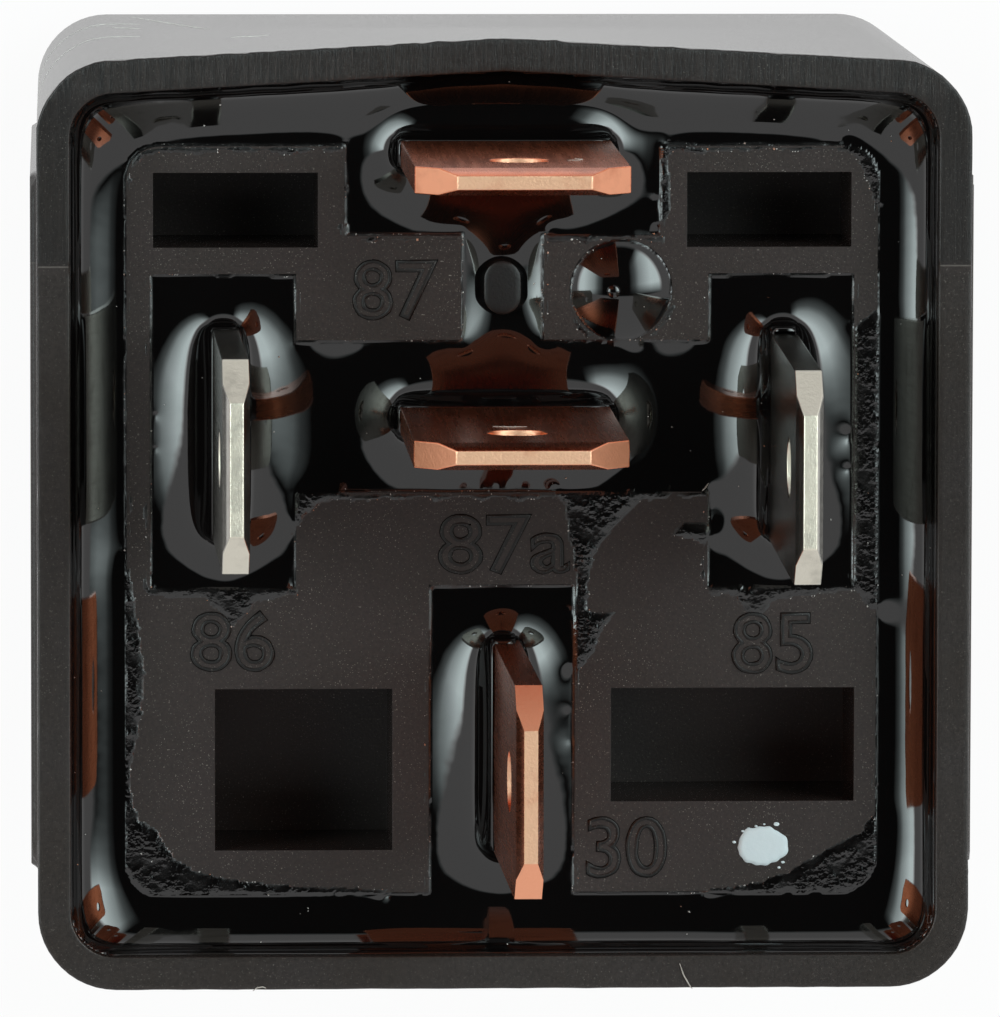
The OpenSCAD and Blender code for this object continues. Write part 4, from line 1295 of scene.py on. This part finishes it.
@dataclass
class Litter:
    """Crumbs on the resin and along its edges, a few fibres, and scrapes on the can."""

    skin: tuple[np.ndarray, ...]
    crumbs: int = 300
    strays: int = 60
    fibre_radius: float = 0.022
    scrape_radius: float = 0.014
    rub_radius: float = 0.012
    fibres: tuple[tuple[tuple[float, float, float], ...], ...] = (
        ((6.02, 0.88, 23.9), (6.12, 0.98, 23.93), (6.22, 1.12, 23.9)),
        ((-7.55, -14.05, 25.4), (-7.42, -13.93, 25.53), (-7.25, -13.9, 25.55), (-7.1, -13.98, 25.45)),
        ((5.3, -13.25, 25.52), (5.42, -13.6, 25.55), (5.62, -13.95, 25.52), (5.7, -14.05, 25.3)),
        ((1.5, 11.56, 33.1), (1.75, 11.57, 33.3), (1.95, 11.57, 33.0), (1.72, 11.58, 32.7)),
        ((-0.6, 3.56, 31.2), (-0.1, 3.57, 31.5), (0.4, 3.57, 31.4)),
    )
    arcs: tuple[float, ...] = (6.5, 13.5)
    scrapes: tuple[tuple[tuple[float, float], ...], ...] = (
        ((-10.9, 2.4), (-10.2, 4.6), (-9.4, 7.0), (-8.5, 9.6)),
        ((-8.0, 15.3), (-7.6, 14.8), (-7.3, 14.9), (-6.8, 14.2)),
        ((-11.6, 8.2), (-11.1, 8.8), (-10.7, 9.0)),
    )

    def grains(self) -> bpy.types.Object:
        """Makes the crumbs and the stray specks, each an uneven octahedron.

        Returns:
            All of them as one piece.
        """
        draw = np.random.default_rng(21)
        x, y, z, crust = self.skin
        edge = draw.choice(np.nonzero(crust > 0.6)[0], self.crumbs, False)
        open_skin = draw.choice(np.nonzero(crust < 0.05)[0], self.strays, False)
        points, faces = [], []
        for k in np.concatenate([edge, open_skin]):
            size = draw.uniform(0.008, 0.03, 3) * draw.choice([1, 1, 1.7])
            axes = np.linalg.qr(draw.normal(size=(3, 3)))[0] * size[:, None]
            start = len(points)
            middle = np.array([x[k], y[k], z[k] + 0.01])
            points += [middle + side * axis for axis in axes for side in (1, -1)]
            faces += [[start + corner for corner in face] for face in OCTAHEDRON]
        return add_piece("dust_grains", np.array(points), faces, Stuff.DUST)

    def thread(self, name: str, path: np.ndarray, radius: float, stuff: Stuff) -> bpy.types.Object:
        """Makes a thin thread that tapers to its ends.

        Args:
            name: The piece's name.
            path: The points that it runs along, in millimetres.
            radius: Its radius in the middle.
            stuff: Its finish.

        Returns:
            The thread.
        """
        sides = 5
        share = np.linspace(0, len(path) - 1, 6 * len(path))
        line = np.stack([np.interp(share, range(len(path)), path[:, k]) for k in range(3)], 1)
        line[1:-1] = (line[:-2] + 2 * line[1:-1] + line[2:]) / 4
        run = np.gradient(line, axis=0)
        side = np.cross(run, (0.3, 0.2, 0.9))
        side /= np.linalg.norm(side, axis=1)[:, None]
        lift = np.cross(run, side)
        lift /= np.linalg.norm(lift, axis=1)[:, None]
        taper = (radius * (0.35 + 0.65 * np.sin(np.linspace(0.05, np.pi - 0.05, len(line)))))[:, None]
        points = np.concatenate([line + taper * (side * math.cos(a) + lift * math.sin(a))
                                 for a in np.linspace(0, 2 * np.pi, sides, False)])
        n = len(line)
        faces = [[k * n + i, k * n + i + 1, (k + 1) % sides * n + i + 1, (k + 1) % sides * n + i]
                 for k in range(sides) for i in range(n - 1)]
        faces += [[k * n for k in reversed(range(sides))], [k * n + n - 1 for k in range(sides)]]
        return add_piece(name, points, faces, stuff)

    def build(self, can: Can) -> None:
        """Makes all of it.

        Args:
            can: The can, whose contact side the scrapes lie on.
        """
        self.grains()
        for k, path in enumerate(self.fibres):
            self.thread(f"fibre_{k + 1}", np.array(path), self.fibre_radius, Stuff.FIBRE)
        for k, path in enumerate(self.scrapes):
            marks = [(x, can.side_y(x, z), z) for x, z in path]
            self.thread(f"scrape_{k + 1}", np.array(marks), self.scrape_radius, Stuff.SCRAPE)
        for k, z in enumerate(self.arcs):
            ring = can.ring(can.slope(z), z, False)
            bend = ring[(ring[:, 0] < -10.6 - 0.1 * k) & (ring[:, 1] > 11.4)]
            bend = bend[np.argsort(bend[:, 0])]
            self.thread(f"rub_{k + 1}", bend, self.rub_radius, Stuff.SCRAPE)


# ---------------------------------------------------------------- the magnet and the contacts

INSIDE = {
    "yoke": (Stuff.IRON, "soft_iron"), "core": (Stuff.IRON, "soft_iron"),
    "armature": (Stuff.IRON, "soft_iron"), "bobbin": (Stuff.BOBBIN, "bobbin_plastic"),
    "coil": (Stuff.WINDING, "winding"), "coil_lead_85": (Stuff.WINDING, "winding"),
    "coil_lead_86": (Stuff.WINDING, "winding"), "contact_spring": (Stuff.BRONZE, "spring_bronze"),
    "spring_rivets": (Stuff.IRON, "soft_iron"), "moving_contact": (Stuff.SILVER, "contact_silver"),
    "contact_no": (Stuff.SILVER, "contact_silver"), "contact_nc": (Stuff.SILVER, "contact_silver"),
    "return_spring": (Stuff.STEEL, "spring_steel"), "braid": (Stuff.BRAID, "copper"),
}


@dataclass
class Works:
    """The magnet and the contacts inside the can."""

    # where each flexing part leaves the housing and where it meets the armature, in millimetres
    flexing: tuple[tuple[str, tuple[float, float, float], tuple[float, float, float]], ...] = (
        ("braid", (-9.8, -8.7, 13.6), (-2.6, 5.9, 4.6)),
        ("return_spring", (0.0, -11.7, 13.0), (0.0, -11.7, 5.0)),
    )

    def flex(self, node: str, start: tuple[float, float, float],
             end: tuple[float, float, float]) -> bpy.types.Object:
        """Makes a copy of a part that bends between the housing and the armature.

        Args:
            node: The CAD node that the copy stands for.
            start: The point up to which it stays with the housing, in millimetres.
            end: The point from which it goes with the armature, in millimetres.

        Returns:
            The copy.
        """
        stuff, slot = INSIDE[node]
        mesh = frame["nodes"][node].data.copy()
        mesh.name = node + "_flexing"
        piece = put_up(mesh, stuff)
        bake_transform(piece, HOUSING, ARMATURE, start=tuple(Vector(start) * MM), end=tuple(Vector(end) * MM))
        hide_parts(node)
        log.info("%s stands for %s", piece.name, node)
        return piece

    def build(self) -> None:
        """Gives each part its finish, and lets the braid and the spring flex."""
        for node, (stuff, _) in INSIDE.items():
            piece = frame["nodes"][node]
            piece.data.materials.clear()
            piece.data.materials.append(stuff.value.material())
            log.info("%s: %s", node, stuff.value.name)
        for node, start, end in self.flexing:
            self.flex(node, start, end)


# ---------------------------------------------------------------- the studio

@dataclass
class Studio:
    """Floor, sky and camera. The sky alone lights the relay."""

    camera_at: tuple[float, float, float] = (-15.34, 37.09, 376.10)
    look: tuple[float, float, float] = (0.04309, -0.10361, -0.99368)
    up: tuple[float, float, float] = (0.00267, 0.99462, -0.10359)
    lens: float = 416.74
    sky: float = 0.62
    rim: float = 1.3
    core: float = 4.4
    dark: float = 0.012
    floor_radius: float = 3.0
    floor_glow: float = 0.94

    def floor(self) -> None:
        """Makes the white floor, which shows as plain white and keeps a soft shadow."""
        mesh = bpy.data.meshes.new("floor")
        ring = [(self.floor_radius * math.cos(a), self.floor_radius * math.sin(a), -0.0001)
                for a in np.linspace(0, 2 * math.pi, 64, False)]
        mesh.from_pydata(ring, [], [list(range(64))])
        floor = bpy.data.objects.new("floor", mesh)
        bpy.context.scene.collection.objects.link(floor)
        made = bpy.data.materials.new("floor")
        made.use_nodes = True
        bench = Bench(made.node_tree)
        paint = bench.node("ShaderNodeBsdfDiffuse", None, {"Color": (0.8, 0.8, 0.8, 1)})
        glow = bench.node("ShaderNodeEmission", None, {"Color": (1, 1, 1, 1), "Strength": 1.0})
        seen = (bench.ray("Is Camera Ray") + bench.ray("Is Glossy Ray")
                + bench.ray("Is Transmission Ray")).step(0, 1)
        both = bench.node("ShaderNodeMixShader", None, {0: seen * self.floor_glow, 1: paint, 2: glow})
        bench.node("ShaderNodeOutputMaterial", None, {"Surface": both})
        mesh.materials.append(made)

    def world(self) -> None:
        """Makes the sky: white at the back and low down, dark overhead on the contact side."""
        world = bpy.data.worlds.new("studio")
        bpy.context.scene.world = world
        world.use_nodes = True
        bench = Bench(world.node_tree)
        ray = bench.node("ShaderNodeTexCoord", out="Generated")
        x, y, z = (bench.part(ray, axis) for axis in range(3))
        over = z.step(0.42, 0.50) * (y + z * 0.21).step(-0.01, 0.02)
        aside = (x + z * 0.1).math("ABSOLUTE")
        window = (aside - z * 0.35).step(0.0, 0.25) * (y - x * 0.1).step(-0.2, 0.04)
        window = window * (1 - (y / aside).step(1.4, 2.2))
        core = (aside - z * 0.5).step(0.0, 0.45)
        low = 1 - z.step(0.03, 0.22)
        open_sky = (1 - over) * (low * (1 - self.sky) + self.sky)
        level = open_sky + over * (window * (core * self.core + self.rim) + self.dark)
        tone = bench.blend(over, (1, 1, 1, 1), (0.86, 1.0, 1.0, 1))
        lit = bench.node("ShaderNodeBackground", None, {"Color": tone, "Strength": level})
        seen = bench.node("ShaderNodeBackground", None, {"Color": (1, 1, 1, 1), "Strength": 1.0})
        both = bench.node("ShaderNodeMixShader", None, {0: bench.ray("Is Camera Ray"), 1: lit, 2: seen})
        bench.node("ShaderNodeOutputWorld", None, {"Surface": both})

    def camera(self) -> None:
        """Makes the camera."""
        data = bpy.data.cameras.new("camera")
        data.lens, data.sensor_width = self.lens, 36.0
        data.clip_start, data.clip_end = 0.01, 10.0
        camera = bpy.data.objects.new("camera", data)
        back = -Vector(self.look).normalized()
        right = Vector(self.up).cross(back).normalized()
        turn = Matrix((right, back.cross(right), back)).transposed().to_4x4()
        camera.matrix_world = Matrix.Translation(Vector(self.camera_at) * MM) @ turn
        bpy.context.scene.collection.objects.link(camera)
        bpy.context.scene.camera = camera

    def build(self) -> None:
        """Makes the whole studio."""
        bpy.context.scene.view_settings.view_transform = "Standard"
        self.floor()
        self.world()
        self.camera()


def main() -> None:
    """Builds the relay and its studio."""
    logging.basicConfig(level=logging.INFO, format="%(message)s")
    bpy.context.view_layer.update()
    can = Can()
    can.build()
    BasePlate().build()
    for blade in BLADES:
        blade.build()
    resin = SealingResin()
    resin.build()
    Litter(resin.skin).build(can)
    Works().build()
    Studio().build()


if __name__ == "__main__":
    main()
